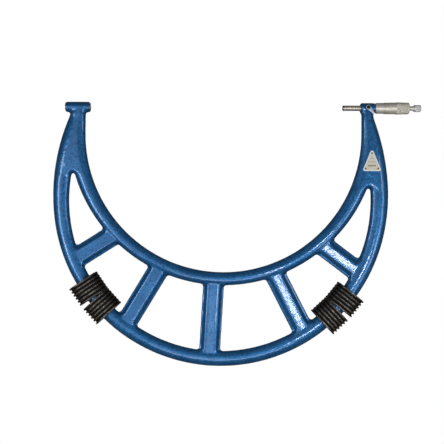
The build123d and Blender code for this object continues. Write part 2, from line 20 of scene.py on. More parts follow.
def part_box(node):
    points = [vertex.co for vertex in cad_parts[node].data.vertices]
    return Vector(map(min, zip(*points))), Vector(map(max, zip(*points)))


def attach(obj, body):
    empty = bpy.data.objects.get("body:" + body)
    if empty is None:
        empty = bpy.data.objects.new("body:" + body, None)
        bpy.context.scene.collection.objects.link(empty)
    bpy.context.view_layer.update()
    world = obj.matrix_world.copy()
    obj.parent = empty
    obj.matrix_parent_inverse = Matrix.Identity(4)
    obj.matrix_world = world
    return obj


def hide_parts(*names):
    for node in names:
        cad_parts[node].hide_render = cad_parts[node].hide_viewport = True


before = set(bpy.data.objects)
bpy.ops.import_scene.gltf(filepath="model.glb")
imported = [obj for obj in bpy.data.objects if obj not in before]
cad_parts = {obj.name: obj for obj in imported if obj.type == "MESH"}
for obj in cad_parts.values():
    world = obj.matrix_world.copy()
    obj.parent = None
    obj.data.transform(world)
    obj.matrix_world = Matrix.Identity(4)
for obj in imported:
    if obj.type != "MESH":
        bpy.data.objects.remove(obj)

MM = 0.001
MERGE_DISTANCE = 1e-7
FULL_TURN = 2 * math.pi
FAR_AWAY = 1.0
CORNER_POINTS = 5
log = logging.getLogger("micrometer")

Colour = tuple[float, float, float]
Circle = tuple[float, float, float]
Mark = tuple[float, float, float, float]
Span = tuple[float, float]
Relief = Callable[[np.ndarray, np.ndarray, np.ndarray], np.ndarray]
Mesh = bpy.types.Mesh
Socket = bpy.types.NodeSocket


class Body(Enum):
    """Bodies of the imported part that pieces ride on."""

    FRAME = "frame"
    SPINDLE = "spindle"
    THIMBLE = "thimble"
    RATCHET = "ratchet"
    LOCK = "lock"


class Slot(Enum):
    """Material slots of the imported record."""

    ENAMEL = "frame_enamel"
    MACHINED = "machined_steel"
    GROUND = "ground_steel"
    CHROME = "satin_chrome"
    CARBIDE = "carbide"
    SPRING = "spring_steel"
    PLATE = "plate_aluminium"
    BRIGHT_FASTENER = "bright_fastener"
    DARK_FASTENER = "dark_fastener"
    LEVER = "bright_lever"
    PAD = "brass_pad"
    GRIP = "grip_plastic"


class Grain(Enum):
    """How the fine marks of a metal surface run."""

    ROUND_AXIS = "rings about the measuring axis"
    ALL_WAYS = "no direction"


@dataclass(frozen=True)
class Finish:
    """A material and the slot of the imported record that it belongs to."""

    material: bpy.types.Material
    slot: Slot


# Meshes


@contextmanager
def editing(mesh: Mesh) -> Iterator[bmesh.types.BMesh]:
    """Working copy of a mesh, written back when the block that uses it ends.

    Args:
        mesh: The mesh to change.

    Yields:
        The working copy.
    """
    work = bmesh.new()
    work.from_mesh(mesh)
    yield work
    work.to_mesh(mesh)
    work.free()


def grid_quads(rows: int, columns: int, rows_closed: bool, columns_closed: bool) -> np.ndarray:
    """Faces of a grid whose points are numbered row after row.

    Args:
        rows: Number of rows of points.
        columns: Number of points in a row.
        rows_closed: Whether the last row joins the first.
        columns_closed: Whether the last point of a row joins its first.

    Returns:
        Four point numbers for each face.
    """
    down = np.arange(rows if rows_closed else rows - 1)
    along = np.arange(columns if columns_closed else columns - 1)
    row, column = np.meshgrid(down, along, indexing="ij")
    next_row = (row + 1) % rows
    next_column = (column + 1) % columns
    corners = (
        row * columns + column,
        row * columns + next_column,
        next_row * columns + next_column,
        next_row * columns + column,
    )
    return np.stack(corners, axis=-1).reshape(-1, 4)


def points_of(mesh: Mesh) -> np.ndarray:
    """Reads a mesh's points.

    Args:
        mesh: The mesh.

    Returns:
        Its points, one a row.
    """
    flat = np.zeros(3 * len(mesh.vertices), np.float32)
    mesh.vertices.foreach_get("co", flat)
    return flat.reshape(-1, 3).astype(float)


def set_points(mesh: Mesh, points: np.ndarray) -> None:
    """Moves a mesh's points to new places, one a row."""
    mesh.vertices.foreach_set("co", points.astype(np.float32).ravel())


def mesh_of(points: np.ndarray, faces: np.ndarray) -> Mesh:
    """Mesh of closed shells, with points that lie on each other merged and faces turned outwards.

    Args:
        points: Points, one a row.
        faces: Point numbers of the faces, all with as many corners.

    Returns:
        The new mesh.
    """
    mesh = bpy.data.meshes.new("shell")
    mesh.vertices.add(len(points))
    set_points(mesh, points)
    mesh.loops.add(faces.size)
    mesh.loops.foreach_set("vertex_index", faces.astype(np.int32).ravel())
    mesh.polygons.add(len(faces))
    mesh.polygons.foreach_set("loop_start", np.arange(0, faces.size, faces.shape[1], dtype=np.int32))
    mesh.update(calc_edges=True)
    with editing(mesh) as work:
        bmesh.ops.remove_doubles(work, verts=work.verts, dist=MERGE_DISTANCE)
        bmesh.ops.dissolve_degenerate(work, edges=work.edges, dist=MERGE_DISTANCE / 10)
        bmesh.ops.recalc_face_normals(work, faces=work.faces)
    return mesh


def link(name: str, data: bpy.types.ID) -> bpy.types.Object:
    """Puts an object at the origin.

    Args:
        name: Name of the object.
        data: Mesh, curve, light or camera that it shows.

    Returns:
        The object.
    """
    made = bpy.data.objects.new(name, data)
    bpy.context.scene.collection.objects.link(made)
    return made


def finished(piece: bpy.types.Object) -> Mesh:
    """Works an object's modifiers into its mesh and removes the object.

    Args:
        piece: The object.

    Returns:
        Its finished mesh.
    """
    evaluated = piece.evaluated_get(bpy.context.evaluated_depsgraph_get())
    mesh = bpy.data.meshes.new_from_object(evaluated)
    bpy.data.objects.remove(piece)
    return mesh


def add_piece(
    name: str,
    mesh: Mesh,
    body: Body,
    finish: Finish,
    stands_for: Sequence[str] = (),
    crease_angle: float = 35.0,
) -> None:
    """Puts a finished mesh into the scene as a smooth-shaded piece of the instrument.

    Args:
        name: Name of the piece.
        mesh: Its mesh, in place.
        body: Body that it moves with.
        finish: Its finish.
        stands_for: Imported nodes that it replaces.
        crease_angle: Smallest angle of an edge that stays hard, in degrees.
    """
    mesh.name = name
    mesh.polygons.foreach_set("use_smooth", np.ones(len(mesh.polygons), dtype=bool))
    mesh.set_sharp_from_angle(angle=math.radians(crease_angle))
    mesh.update()
    mesh.materials.clear()
    mesh.materials.append(finish.material)
    piece = link(name, mesh)
    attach(piece, body.value)
    if stands_for:
        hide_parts(*stands_for)
    log.info("%s: %d faces on %s", name, len(mesh.polygons), body.value)


def merged_copy(node: str, gap: float = 2e-6) -> Mesh:
    """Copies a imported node's mesh with its loose triangles joined.

    Args:
        node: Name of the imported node.
        gap: Distance within which points are one.

    Returns:
        The copy.
    """
    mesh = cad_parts[node].data.copy()
    with editing(mesh) as work:
        bmesh.ops.remove_doubles(work, verts=work.verts, dist=gap)
        bmesh.ops.dissolve_degenerate(work, edges=work.edges, dist=MERGE_DISTANCE)
    return mesh


def softened_copy(node: str, edge_round: float, hard_angle: float = 40.0) -> Mesh:
    """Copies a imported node's mesh with its hard edges rounded.

    Args:
        node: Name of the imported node.
        edge_round: Width of the round.
        hard_angle: Smallest angle of an edge that is rounded, in degrees.

    Returns:
        The copy.
    """
    mesh = merged_copy(node)
    with editing(mesh) as work:
        flat = math.radians(1)
        bmesh.ops.dissolve_limit(work, angle_limit=flat, verts=work.verts, edges=work.edges)
    piece = link("softened", mesh)
    bevel = piece.modifiers.new("round", "BEVEL")
    bevel.width = edge_round
    bevel.segments = 2
    bevel.limit_method = "ANGLE"
    bevel.angle_limit = math.radians(hard_angle)
    return finished(piece)


# Shapes


def rounded(
    outline: Sequence[tuple[float, float]], size: float, closed: bool, most: float = 0.45
) -> np.ndarray:
    """Outline whose corners are each replaced by a short curve.

    A corner P between two sides gets the parabola (1 - t)^2 A + 2 t (1 - t) P + t^2 B, where A and
    B lie on its sides, the given length from P or the most that a side allows.

    Args:
        outline: Corner points.
        size: Length that the curve takes of each side.
        closed: Whether the outline is a loop; the ends of an open one stay as they are.
        most: Largest share of a side that a curve takes.

    Returns:
        Points of the new outline, one a row.
    """
    corners = np.array(outline, float)
    to_last = np.roll(corners, 1, axis=0) - corners
    to_next = np.roll(corners, -1, axis=0) - corners
    last_side = np.linalg.norm(to_last, axis=1, keepdims=True)
    next_side = np.linalg.norm(to_next, axis=1, keepdims=True)
    cut = np.minimum(size, most * np.minimum(last_side, next_side))
    start = corners + to_last / last_side * cut
    end = corners + to_next / next_side * cut
    share = np.linspace(0, 1, CORNER_POINTS)[None, :, None]
    curve = (
        (1 - share) ** 2 * start[:, None]
        + 2 * share * (1 - share) * corners[:, None]
        + share**2 * end[:, None]
    )
    if closed:
        return curve.reshape(-1, 2)
    return np.vstack([corners[:1], curve[1:-1].reshape(-1, 2), corners[-1:]])


def turned(
    outline: np.ndarray, closed: bool, segments: int = 96, relief: Optional[Relief] = None
) -> Mesh:
    """Shape turned about the measuring axis.

    The point of the outline (x, r) at the angle a lies at (x, r sin a, r cos a), where r also has
    the relief at (x, a) added to it.

    Args:
        outline: Points (x, r), one a row; an open outline starts and ends on the axis.
        closed: Whether the outline is a loop clear of the axis.
        segments: Points round the axis.
        relief: Height over the turned surface as a function of x, angle and radius, if any.

    Returns:
        The closed mesh.
    """
    angle = np.arange(segments) / segments * FULL_TURN
    along, angles = np.meshgrid(outline[:, 0], angle, indexing="ij")
    radius = np.repeat(outline[:, 1:], segments, axis=1)
    if relief is not None:
        radius = np.where(radius > 0, radius + relief(along, angles, radius), radius)
    points = np.stack([along, radius * np.sin(angles), radius * np.cos(angles)], axis=-1)
    return mesh_of(points.reshape(-1, 3), grid_quads(len(outline), segments, closed, True))


# Finishes


class Surface:
    """Nodes of one material, with short calls for what the finishes use."""

    def __init__(self, name: str) -> None:
        """Starts a material with one principled shader and the piece's own coordinates.

        Args:
            name: Name of the material.
        """
        self.material = bpy.data.materials.new(name)
        self.material.use_nodes = True
        self.tree = self.material.node_tree
        self.shader = self.tree.nodes["Principled BSDF"]
        self.place = self.node("TexCoord", {}).outputs["Object"]

    def node(self, kind: str, sources: dict[str, Optional[Socket]], **values: object) -> bpy.types.Node:
        """Adds a node.

        Args:
            kind: Its type, without the start that all types share.
            sources: Output that feeds each linked socket, or None where nothing does.
            **values: Values of other sockets, named with underscores for spaces.

        Returns:
            The node.
        """
        made = self.tree.nodes.new("ShaderNode" + kind)
        for socket, source in sources.items():
            if source is not None:
                self.tree.links.new(source, made.inputs[socket])
        for socket, value in values.items():
            made.inputs[socket.replace("_", " ")].default_value = value
        return made

    def stretched(self, scale: tuple[float, float, float]) -> Socket:
        """The piece's coordinates times a scale for each axis."""
        return self.node("Mapping", {"Vector": self.place}, Scale=scale).outputs["Vector"]

    def noise(self, size: float, detail: float, place: Optional[Socket] = None) -> Socket:
        """Soft noise from 0 to 1 whose lumps are about a size across."""
        where = {"Vector": place or self.place}
        return self.node("TexNoise", where, Scale=1 / size, Detail=detail).outputs["Fac"]

    def cells(self, size: float, blend: float) -> Socket:
        """Distance to the nearest of scattered points.

        Args:
            size: Usual distance between two points.
            blend: How softly neighbouring cells pass into each other, from 0 to 1.

        Returns:
            The distance.
        """
        made = self.node("TexVoronoi", {"Vector": self.place}, Scale=1 / size)
        made.feature = "SMOOTH_F1"
        made.inputs["Smoothness"].default_value = blend
        return made.outputs["Distance"]

    def attribute(self, name: str) -> Socket:
        """One of the mesh's own attributes, as a number.

        Args:
            name: Name of the attribute.

        Returns:
            Its value.
        """
        made = self.node("Attribute", {})
        made.attribute_name = name
        return made.outputs["Fac"]

    def ramp(self, value: Socket, span: Span, levels: Span = (0, 1)) -> Socket:
        """Value over a span mapped to levels, and held beyond them."""
        ends = dict(zip(("From_Min", "From_Max", "To_Min", "To_Max"), (*span, *levels)))
        return self.node("MapRange", {"Value": value}, **ends).outputs["Result"]

    def mix(self, share: Socket, low: object, high: object) -> Socket:
        """Blends two colours.

        Args:
            share: Share of the second.
            low: First colour, or a node's output.
            high: Second colour, or a node's output.

        Returns:
            The colour between them.
        """
        made = self.node("Mix", {})
        made.data_type = "RGBA"
        self.tree.links.new(share, made.inputs["Factor"])
        for socket, colour in ((made.inputs[6], low), (made.inputs[7], high)):
            if isinstance(colour, Socket):
                self.tree.links.new(colour, socket)
            else:
                socket.default_value = (*colour, 1)
        return made.outputs[2]

    def bump(self, height: Socket, depth: float, under: Optional[Socket] = None) -> Socket:
        """Normal of a surface with a height times a depth, over another bump if there is one."""
        sources = {"Height": height, "Normal": under}
        return self.node("Bump", sources, Strength=1.0, Distance=depth).outputs["Normal"]

    def constant(self, **values: float) -> None:
        """Sets sockets of the shader, named with underscores for spaces."""
        for socket, value in values.items():
            self.shader.inputs[socket.replace("_", " ")].default_value = value

    def into(self, **sources: Socket) -> None:
        """Links outputs to sockets of the shader, named with underscores for spaces."""
        for socket, source in sources.items():
            self.tree.links.new(source, self.shader.inputs[socket.replace("_", " ")])


@dataclass(frozen=True)
class HammeredEnamel:
    """Glossy stove enamel with the fine hammered grain of a painted casting."""

    slot: Slot = Slot.ENAMEL
    deep: Colour = (0.004, 0.048, 0.150)
    middle: Colour = (0.016, 0.124, 0.320)
    pale: Colour = (0.026, 0.160, 0.395)
    patch_size: float = 26 * MM
    patch_span: Span = (0.35, 0.65)
    grain_size: float = 2.4 * MM
    grain_blend: float = 0.6
    grain_depth: float = 0.015 * MM
    valley_span: Span = (0.35, 0.75)
    valley_levels: Span = (0, 0.6)
    fleck_size: float = 1.6 * MM
    fleck_span: Span = (0.3, 0.7)
    fleck_depth: float = 0.004 * MM
    roughness: Span = (0.32, 0.44)
    metallic: float = 0.6
    specular: float = 0.1
    coat: float = 0.75
    coat_roughness: float = 0.12

    def finish(self) -> Finish:
        """Builds the material.

        Returns:
            The finish.
        """
        surface = Surface(self.slot.value)
        patches = surface.ramp(surface.noise(self.patch_size, 3), self.patch_span)
        grain = surface.cells(self.grain_size, self.grain_blend)
        flecks = surface.noise(self.fleck_size, 2)
        colour = surface.mix(patches, self.middle, self.pale)
        valleys = surface.ramp(grain, self.valley_span, self.valley_levels)
        colour = surface.mix(valleys, colour, self.deep)
        normal = surface.bump(grain, -self.grain_depth)
        normal = surface.bump(flecks, self.fleck_depth, normal)
        roughness = surface.ramp(flecks, self.fleck_span, self.roughness)
        surface.into(Base_Color=colour, Normal=normal, Roughness=roughness, Coat_Normal=normal)
        surface.constant(Metallic=self.metallic, Specular_IOR_Level=self.specular)
        surface.constant(Coat_Weight=self.coat, Coat_Roughness=self.coat_roughness)
        return Finish(surface.material, self.slot)


@dataclass(frozen=True)
class Metal:
    """Bare or plated metal with fine marks and a little uneven shine."""

    slot: Slot
    colour: Colour
    dull: Colour
    roughness: float
    grain: Grain = Grain.ALL_WAYS
    metallic: float = 1.0
    name: str = ""
    line_size: float = 0.06 * MM
    line_depth: float = 0.004 * MM
    line_span: Span = (0.3, 0.7)
    ring_scale: tuple[float, float, float] = (1, 0.02, 0.02)
    mark_growth: float = 8
    stain_size: float = 7 * MM
    stain_span: Span = (0.4, 0.7)
    unevenness: float = 0.3

    def finish(self) -> Finish:
        """Builds the material.

        Returns:
            The finish.
        """
        surface = Surface(self.name or self.slot.value)
        if self.grain is Grain.ROUND_AXIS:
            lines = surface.noise(self.line_size, 2, surface.stretched(self.ring_scale))
        else:
            lines = surface.noise(self.mark_growth * self.line_size, 4)
        stain = surface.ramp(surface.noise(self.stain_size, 4), self.stain_span)
        colour = surface.mix(stain, self.colour, self.dull)
        spread = self.unevenness * self.roughness
        levels = (self.roughness - spread, self.roughness + spread)
        roughness = surface.ramp(lines, self.line_span, levels)
        normal = surface.bump(lines, self.line_depth)
        surface.into(Base_Color=colour, Roughness=roughness, Normal=normal)
        surface.constant(Metallic=self.metallic)
        return Finish(surface.material, self.slot)


@dataclass(frozen=True)
class MouldedPlastic:
    """Dark moulded plastic, rubbed on its ribs to a tan that is partly wear and dust and partly a
    painted highlight, and darkened in the grooves between them by painted shade.

    The mesh's own attribute "groove" runs from 0 on the ribs to 1 on the floor of a groove and
    sets the painted shade and the lower shine there; the attribute for the rub and the highlight
    is 1 where hands rub the ribs and the highlight is painted, and 0 far from there.
    """

    slot: Slot = Slot.GRIP
    colour: Colour = (0.020, 0.018, 0.016)
    # Tan of the rubbed ribs: partly real dust and wear, partly a painted highlight on the ribs.
    dust_and_highlight: Colour = (0.400, 0.320, 0.240)
    # Painted shade: a darker colour for the floors of the grooves, where shade falls between the ribs.
    painted_groove_shade: Colour = (0.016, 0.015, 0.013)
    dust_and_highlight_size: float = 5.0 * MM
    dust_and_highlight_span: Span = (0.50, 0.72)
    roughness: Span = (0.26, 0.80)
    shine: float = 0.50
    shine_span: Span = (0, 0.6)
    pore_size: float = 3.0 * MM
    pore_depth: float = 0.02 * MM

    def finish(self) -> Finish:
        """Builds the material.

        Returns:
            The finish.
        """
        surface = Surface(self.slot.value)
        dust_and_highlight_spots = surface.ramp(surface.noise(self.dust_and_highlight_size, 4), self.dust_and_highlight_span)
        pores = surface.noise(self.pore_size, 3)
        groove = surface.attribute("groove")
        # Tan spots, partly dust and partly painted highlight, show only in the band of rub and highlight
        # on the ribs; the grooves take the painted shade colour.
        worn = surface.mix(dust_and_highlight_spots, self.colour, self.dust_and_highlight)
        ribs = surface.mix(surface.attribute("rub_and_highlight"), self.colour, worn)
        colour = surface.mix(groove, ribs, self.painted_groove_shade)
        roughness = surface.ramp(groove, (0, 1), self.roughness)
        # Painted shade: the shine also drops towards the floors of the grooves.
        shine = surface.ramp(groove, self.shine_span, (self.shine, 0))
        normal = surface.bump(pores, self.pore_depth)
        surface.into(Base_Color=colour, Roughness=roughness, Normal=normal, Specular_IOR_Level=shine)
        return Finish(surface.material, self.slot)


@dataclass(frozen=True)
class Paint:
    """Printed or filled colour that is a little uneven."""

    slot: Slot
    name: str
    colour: Colour
    worn: Colour
    wear_size: float = 1.6 * MM
    wear_span: Span = (0.4, 0.75)
    grain_size: float = 0.3 * MM
    grain_depth: float = 0.01 * MM
    roughness: float = 0.45

    def finish(self) -> Finish:
        """Builds the material.

        Returns:
            The finish.
        """
        surface = Surface(self.name)
        wear = surface.ramp(surface.noise(self.wear_size, 5), self.wear_span)
        normal = surface.bump(surface.noise(self.grain_size, 3), self.grain_depth)
        surface.into(Base_Color=surface.mix(wear, self.colour, self.worn), Normal=normal)
        surface.constant(Roughness=self.roughness)
        return Finish(surface.material, self.slot)


class Finishes:
    """Every finish of the instrument, built once."""

    def __init__(self) -> None:
        """Builds the materials."""
        self.enamel = HammeredEnamel().finish()
        self.machined = Metal(Slot.MACHINED, (0.55, 0.54, 0.52), (0.42, 0.41, 0.39), 0.34).finish()
        self.ground = Metal(
            Slot.GROUND, (0.60, 0.57, 0.50), (0.50, 0.48, 0.41), 0.42, Grain.ROUND_AXIS, 0.8
        ).finish()
        self.chrome = Metal(
            Slot.CHROME, (0.76, 0.73, 0.66), (0.67, 0.64, 0.57), 0.50, Grain.ROUND_AXIS, 0.6
        ).finish()
        self.carbide = Metal(Slot.CARBIDE, (0.30, 0.30, 0.31), (0.24, 0.24, 0.25), 0.22).finish()
        self.spring = Metal(Slot.SPRING, (0.35, 0.35, 0.36), (0.25, 0.25, 0.26), 0.30).finish()
        self.bright = Metal(
            Slot.BRIGHT_FASTENER, (0.68, 0.68, 0.68), (0.55, 0.55, 0.54), 0.26
        ).finish()
        self.dark = Metal(Slot.DARK_FASTENER, (0.030, 0.028, 0.026), (0.06, 0.05, 0.045), 0.42).finish()
        self.lever = Metal(
            Slot.LEVER, (0.50, 0.58, 0.68), (0.38, 0.46, 0.56), 0.36, metallic=0.3
        ).finish()
        self.knob = Metal(
            Slot.CHROME, (0.74, 0.74, 0.74), (0.66, 0.66, 0.66), 0.50, metallic=0.35,
            name="ratchet_chrome",
        ).finish()
        self.brass = Metal(Slot.PAD, (0.70, 0.50, 0.20), (0.55, 0.38, 0.15), 0.35).finish()
        self.plate = Metal(
            Slot.PLATE, (0.90, 0.94, 0.97), (0.84, 0.89, 0.93), 0.34, metallic=0.1
        ).finish()
        self.grip = MouldedPlastic().finish()
        self.cream, self.tan, self.faint, self.grey, self.ink = (
            Paint(slot, name, colour, worn).finish()
            for slot, name, colour, worn in (
                (Slot.PLATE, "plate_field", (0.72, 0.69, 0.58), (0.64, 0.61, 0.50)),
                (Slot.PLATE, "plate_bar", (0.36, 0.27, 0.15), (0.46, 0.37, 0.24)),
                (Slot.PLATE, "plate_rows", (0.52, 0.46, 0.34), (0.60, 0.54, 0.42)),
                (Slot.PLATE, "plate_band", (0.48, 0.50, 0.48), (0.56, 0.57, 0.54)),
                (Slot.CHROME, "scale_ink", (0.012, 0.012, 0.014), (0.05, 0.05, 0.05)),
            )
        )


# Sub-assemblies


class Neighbours:
    """Which points of a mesh its edges join."""

    def __init__(self, mesh: Mesh) -> None:
        """Reads the edges.

        Args:
            mesh: The mesh.
        """
        ends = np.zeros(2 * len(mesh.edges), np.int32)
        mesh.edges.foreach_get("vertices", ends)
        start, end = ends.reshape(-1, 2).T
        self.one = np.concatenate([start, end])
        self.other = np.concatenate([end, start])
        self.count = np.bincount(self.one, minlength=len(mesh.vertices))

    def mean(self, values: np.ndarray) -> np.ndarray:
        """Mean of the values of each point's neighbours."""
        return np.bincount(self.one, values[self.other], len(self.count)) / self.count


@dataclass
class CastFrame:
    """The casting: one skin with soft cast edges, and bores with crisp machined ones."""

    finishes: Finishes
    cell: float = 1.38 * MM
    smoothing_rounds: int = 5
    smoothing_share: float = 0.5
    crown_rounds: int = 8
    crease_angle: float = 50.0
    half_thickness: float = 7.5 * MM
    widest_round: float = 15.0 * MM
    thinnest_round: float = 0.1 * MM
    crest_share: float = 0.6
    throat: Circle = (218.3 * MM, -39.9 * MM, 206.7 * MM)
    crescent_outer: Circle = (213.3 * MM, -139.1 * MM, 225.9 * MM)
    crescent_inner: Circle = (218.3 * MM, -34.0 * MM, 232.6 * MM)
    outline_bottom: Circle = (214.4 * MM, -136.7 * MM, 250.8 * MM)
    outline_left: Circle = (259.96 * MM, -131.11 * MM, 296.7 * MM)
    outline_right: Circle = (187.79 * MM, -131.04 * MM, 278.0 * MM)
    outline_arm: Circle = (134.96 * MM, -135.20 * MM, 331.0 * MM)
    joins: tuple[float, float, float] = (187.0, -12.0, 4.5)
    crescent_ends: tuple[Circle, Circle] = (
        (-6.9 * MM, -101.9 * MM, 2.6 * MM),
        (436.0 * MM, -123.0 * MM, 2.6 * MM),
    )
    end_blend: float = 4.0 * MM
    end_growth: float = 2.5
    crescent_blend: float = 1.5 * MM
    spoke_hub: tuple[float, float] = (214.3 * MM, -90.5 * MM)
    spoke_angles: tuple[float, ...] = (-147.7, -121.1, -93.2, -62.7, -36.9)
    spoke_half_flats: tuple[float, ...] = (9.0 * MM, 9.0 * MM, 9.0 * MM, 6.2 * MM, 6.2 * MM)
    spoke_half_width: float = 16.0 * MM
    spoke_slope: float = 0.35
    spoke_level: float = 5.5 * MM
    boss_reach: float = 11.0 * MM
    boss_blend: float = 6.0 * MM
    drop_size: float = 1.6 * MM
    drops: tuple[tuple[float, float, float], ...] = (
        (-5.7 * MM, -68.7 * MM, -0.32 * MM),
        (-11.0 * MM, -80.9 * MM, 0.40 * MM),
        (-14.0 * MM, -84.0 * MM, 0.25 * MM),
        (-16.3 * MM, -87.0 * MM, 0.40 * MM),
        (436.0 * MM, -99.5 * MM, 0.30 * MM),
        (441.2 * MM, -101.0 * MM, 0.35 * MM),
        (443.5 * MM, -105.5 * MM, 0.25 * MM),
    )
    unevenness: float = 0.03 * MM
    shortest_wave: float = 5 * MM
    longest_wave: float = 14 * MM
    wave_count: int = 28
    seed: int = 7
    bore_segments: int = 72
    plug_margin: float = 0.4 * MM
    cut_margin: float = 2 * MM
    seat_radius: float = 4.1 * MM
    seat_play: float = 0.15 * MM
    hole_radius: float = 2.05 * MM

    def bores(self) -> list[tuple[float, float, float]]:
        """Finds the two bores on the measuring axis.

        Returns:
            Start, end and radius of each.
        """
        bush_low, bush_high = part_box("anvil_bush")
        stem_low, stem_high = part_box("inner_sleeve")
        boss_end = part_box("graduated_sleeve")[0].x
        return [(bush_low.x, bush_high.x, bush_high.y), (stem_low.x, boss_end, stem_high.y)]

    def bar(self, start: float, end: float, radius: float) -> Mesh:
        """Round bar on the measuring axis."""
        outline = np.array([(start, 0), (start, radius), (end, radius), (end, 0)])
        return turned(outline, False, self.bore_segments)

    def skin(self) -> Mesh:
        """Plugs the casting's bores and remakes it of even cells that blend every joint.

        Returns:
            The closed skin.
        """
        mesh = bpy.data.meshes.new("skin")
        margin = self.plug_margin
        with editing(mesh) as work:
            work.from_mesh(merged_copy("frame_casting"))
            for start, end, radius in self.bores():
                work.from_mesh(self.bar(start + margin, end - margin, radius + margin))
        piece = link("skin", mesh)
        remesh = piece.modifiers.new("cells", "REMESH")
        remesh.mode = "VOXEL"
        remesh.voxel_size = self.cell
        return finished(piece)

    def smoothed(self, points: np.ndarray, neighbours: Neighbours) -> np.ndarray:
        """Moves each point a share of the way to the mean of its neighbours, a few times over.

        Args:
            points: Points of the skin.
            neighbours: What the skin's edges join.

        Returns:
            The new points.
        """
        for _ in range(self.smoothing_rounds):
            mean = np.stack([neighbours.mean(values) for values in points.T], axis=1)
            points = points + self.smoothing_share * (mean - points)
        return points

    def depth_inside(self, points: np.ndarray, circle: Circle) -> np.ndarray:
        """How far each point lies inside a circle seen from above."""
        x, y, radius = circle
        return radius - np.hypot(points[:, 0] - x, points[:, 1] - y)

    def heading_from(self, points: np.ndarray, circle: Circle) -> np.ndarray:
        """Heading of each point from the middle of a circle, from -90 to 270 degrees."""
        turn = np.degrees(np.arctan2(points[:, 1] - circle[1], points[:, 0] - circle[0]))
        return (turn + 90) % 360 - 90

    def outer_depth(self, points: np.ndarray) -> np.ndarray:
        """Distance of each point from the outer edge, the arc that the point's heading picks.

        Args:
            points: Points of the skin.

        Returns:
            The distances.
        """
        left_join, right_join, arm_join = self.joins
        heading = self.heading_from(points, self.outline_bottom)
        on_left = (heading > 90) & (heading < left_join)
        on_right = (heading > right_join) & (heading < 90)
        on_arm = on_right & (self.heading_from(points, self.outline_right) > arm_join)
        depth = self.depth_inside(points, self.outline_bottom)
        for chosen, circle in (
            (on_left, self.outline_left), (on_right, self.outline_right), (on_arm, self.outline_arm),
        ):
            depth = np.where(chosen, self.depth_inside(points, circle), depth)
        return depth

    def edge_distances(self, points: np.ndarray) -> np.ndarray:
        """Distances of each point from the edges of the rims and arms.

        The inner edges are the throat's circle, and the two circles of the crescent with the round
        at each of its ends.

        Args:
            points: Points of the skin.

        Returns:
            A row for each of the three edges, the nearest first.
        """
        throat = -self.depth_inside(points, self.throat)
        crescent = -self.crescent_depth(points)
        for end in self.crescent_ends:
            same_side = (points[:, 0] - self.throat[0]) * (end[0] - self.throat[0]) > 0
            above = points[:, 1] - end[1]
            growth = 1 + np.clip(above / self.end_blend, 0, self.end_growth)
            away = -self.depth_inside(points, end) * growth
            crescent = np.where(same_side & (above > 0), away, crescent)
        return np.sort(np.stack([self.outer_depth(points), throat, crescent]), axis=0)

    def spoke_offsets(self, points: np.ndarray) -> np.ndarray:
        """Distance of each point from the middle line of each spoke.

        Args:
            points: Points of the skin.

        Returns:
            A row for each spoke; points behind the hub count as far away.
        """
        angles = np.radians(np.array(self.spoke_angles))[:, None]
        x = points[:, 0] - self.spoke_hub[0]
        y = points[:, 1] - self.spoke_hub[1]
        ahead = x * np.cos(angles) + y * np.sin(angles)
        aside = np.abs(y * np.cos(angles) - x * np.sin(angles))
        return np.where(ahead > 0, aside, FAR_AWAY)

    def crescent_depth(self, points: np.ndarray) -> np.ndarray:
        """How far each point lies inside the crescent between the rims; less than 0 outside."""
        outer = self.depth_inside(points, self.crescent_outer)
        return np.minimum(outer, -self.depth_inside(points, self.crescent_inner))

    def dome(self, points: np.ndarray, aside: np.ndarray) -> tuple[np.ndarray, np.ndarray]:
        """Height that the crowns of the rims and arms have at each point.

        At the distance d from an edge it is h sqrt(1 - (1 - d / w)^2), a quarter of an ellipse of
        the height h and half the local width w, but not below a spoke that starts there.

        Args:
            points: Points of the skin.
            aside: Their distances from the spokes' middle lines.

        Returns:
            The heights, and how far each point lies from the edge, 0, to the crest, 1.
        """
        nearest, second, _ = self.edge_distances(points)
        half_width = np.clip((nearest + second) / 2, self.thinnest_round, self.widest_round)
        share = np.clip(nearest / half_width, 0, 1)
        limit = self.half_thickness * np.sqrt(1 - (1 - share) ** 2)
        at_spoke = (aside < self.spoke_half_width).any(axis=0)
        return np.where(at_spoke, np.maximum(limit, self.spoke_level), limit), share

    def sunk(self, level: np.ndarray, aside: np.ndarray, weight: np.ndarray) -> np.ndarray:
        """Heights with the spokes' faces sunk beside their flats, in proportion to the distance.

        Args:
            level: Heights of the points over the middle plane.
            aside: Their distances from the spokes' middle lines.
            weight: How much each point belongs to the spokes, from 0 to 1.

        Returns:
            The new heights.
        """
        beside = np.maximum(aside - np.array(self.spoke_half_flats)[:, None], 0)
        drop = np.where(aside < self.spoke_half_width, self.spoke_slope * beside, 0)
        drop = drop.sum(axis=0) * weight
        return level - np.sign(level) * np.minimum(drop, np.abs(level) / 2)

    def crowned(self, points: np.ndarray, neighbours: Neighbours) -> np.ndarray:
        """Rounds the rims, the arms and the spokes across, and smooths the rims' heights alone.

        Args:
            points: Points of the skin.
            neighbours: What the skin's edges join.

        Returns:
            The new points.
        """
        on_rims = np.clip(1 - self.crescent_depth(points) / self.crescent_blend, 0, 1)
        off_bosses = np.clip((-points[:, 1] - self.boss_reach) / self.boss_blend, 0, 1)
        weight = on_rims * off_bosses
        aside = self.spoke_offsets(points)
        limit, share = self.dome(points, aside)
        height = self.sunk(points[:, 2], aside, 1 - on_rims)
        crown = np.clip(height, -limit, limit)
        at_crest = (share > self.crest_share) & (np.abs(height) > self.crest_share * limit)
        crown = np.where(at_crest, np.sign(height) * limit, crown)
        height = height + weight * (crown - height)
        for _ in range(self.crown_rounds):
            height = height + self.smoothing_share * weight * (neighbours.mean(height) - height)
        return np.column_stack([points[:, :2], height])

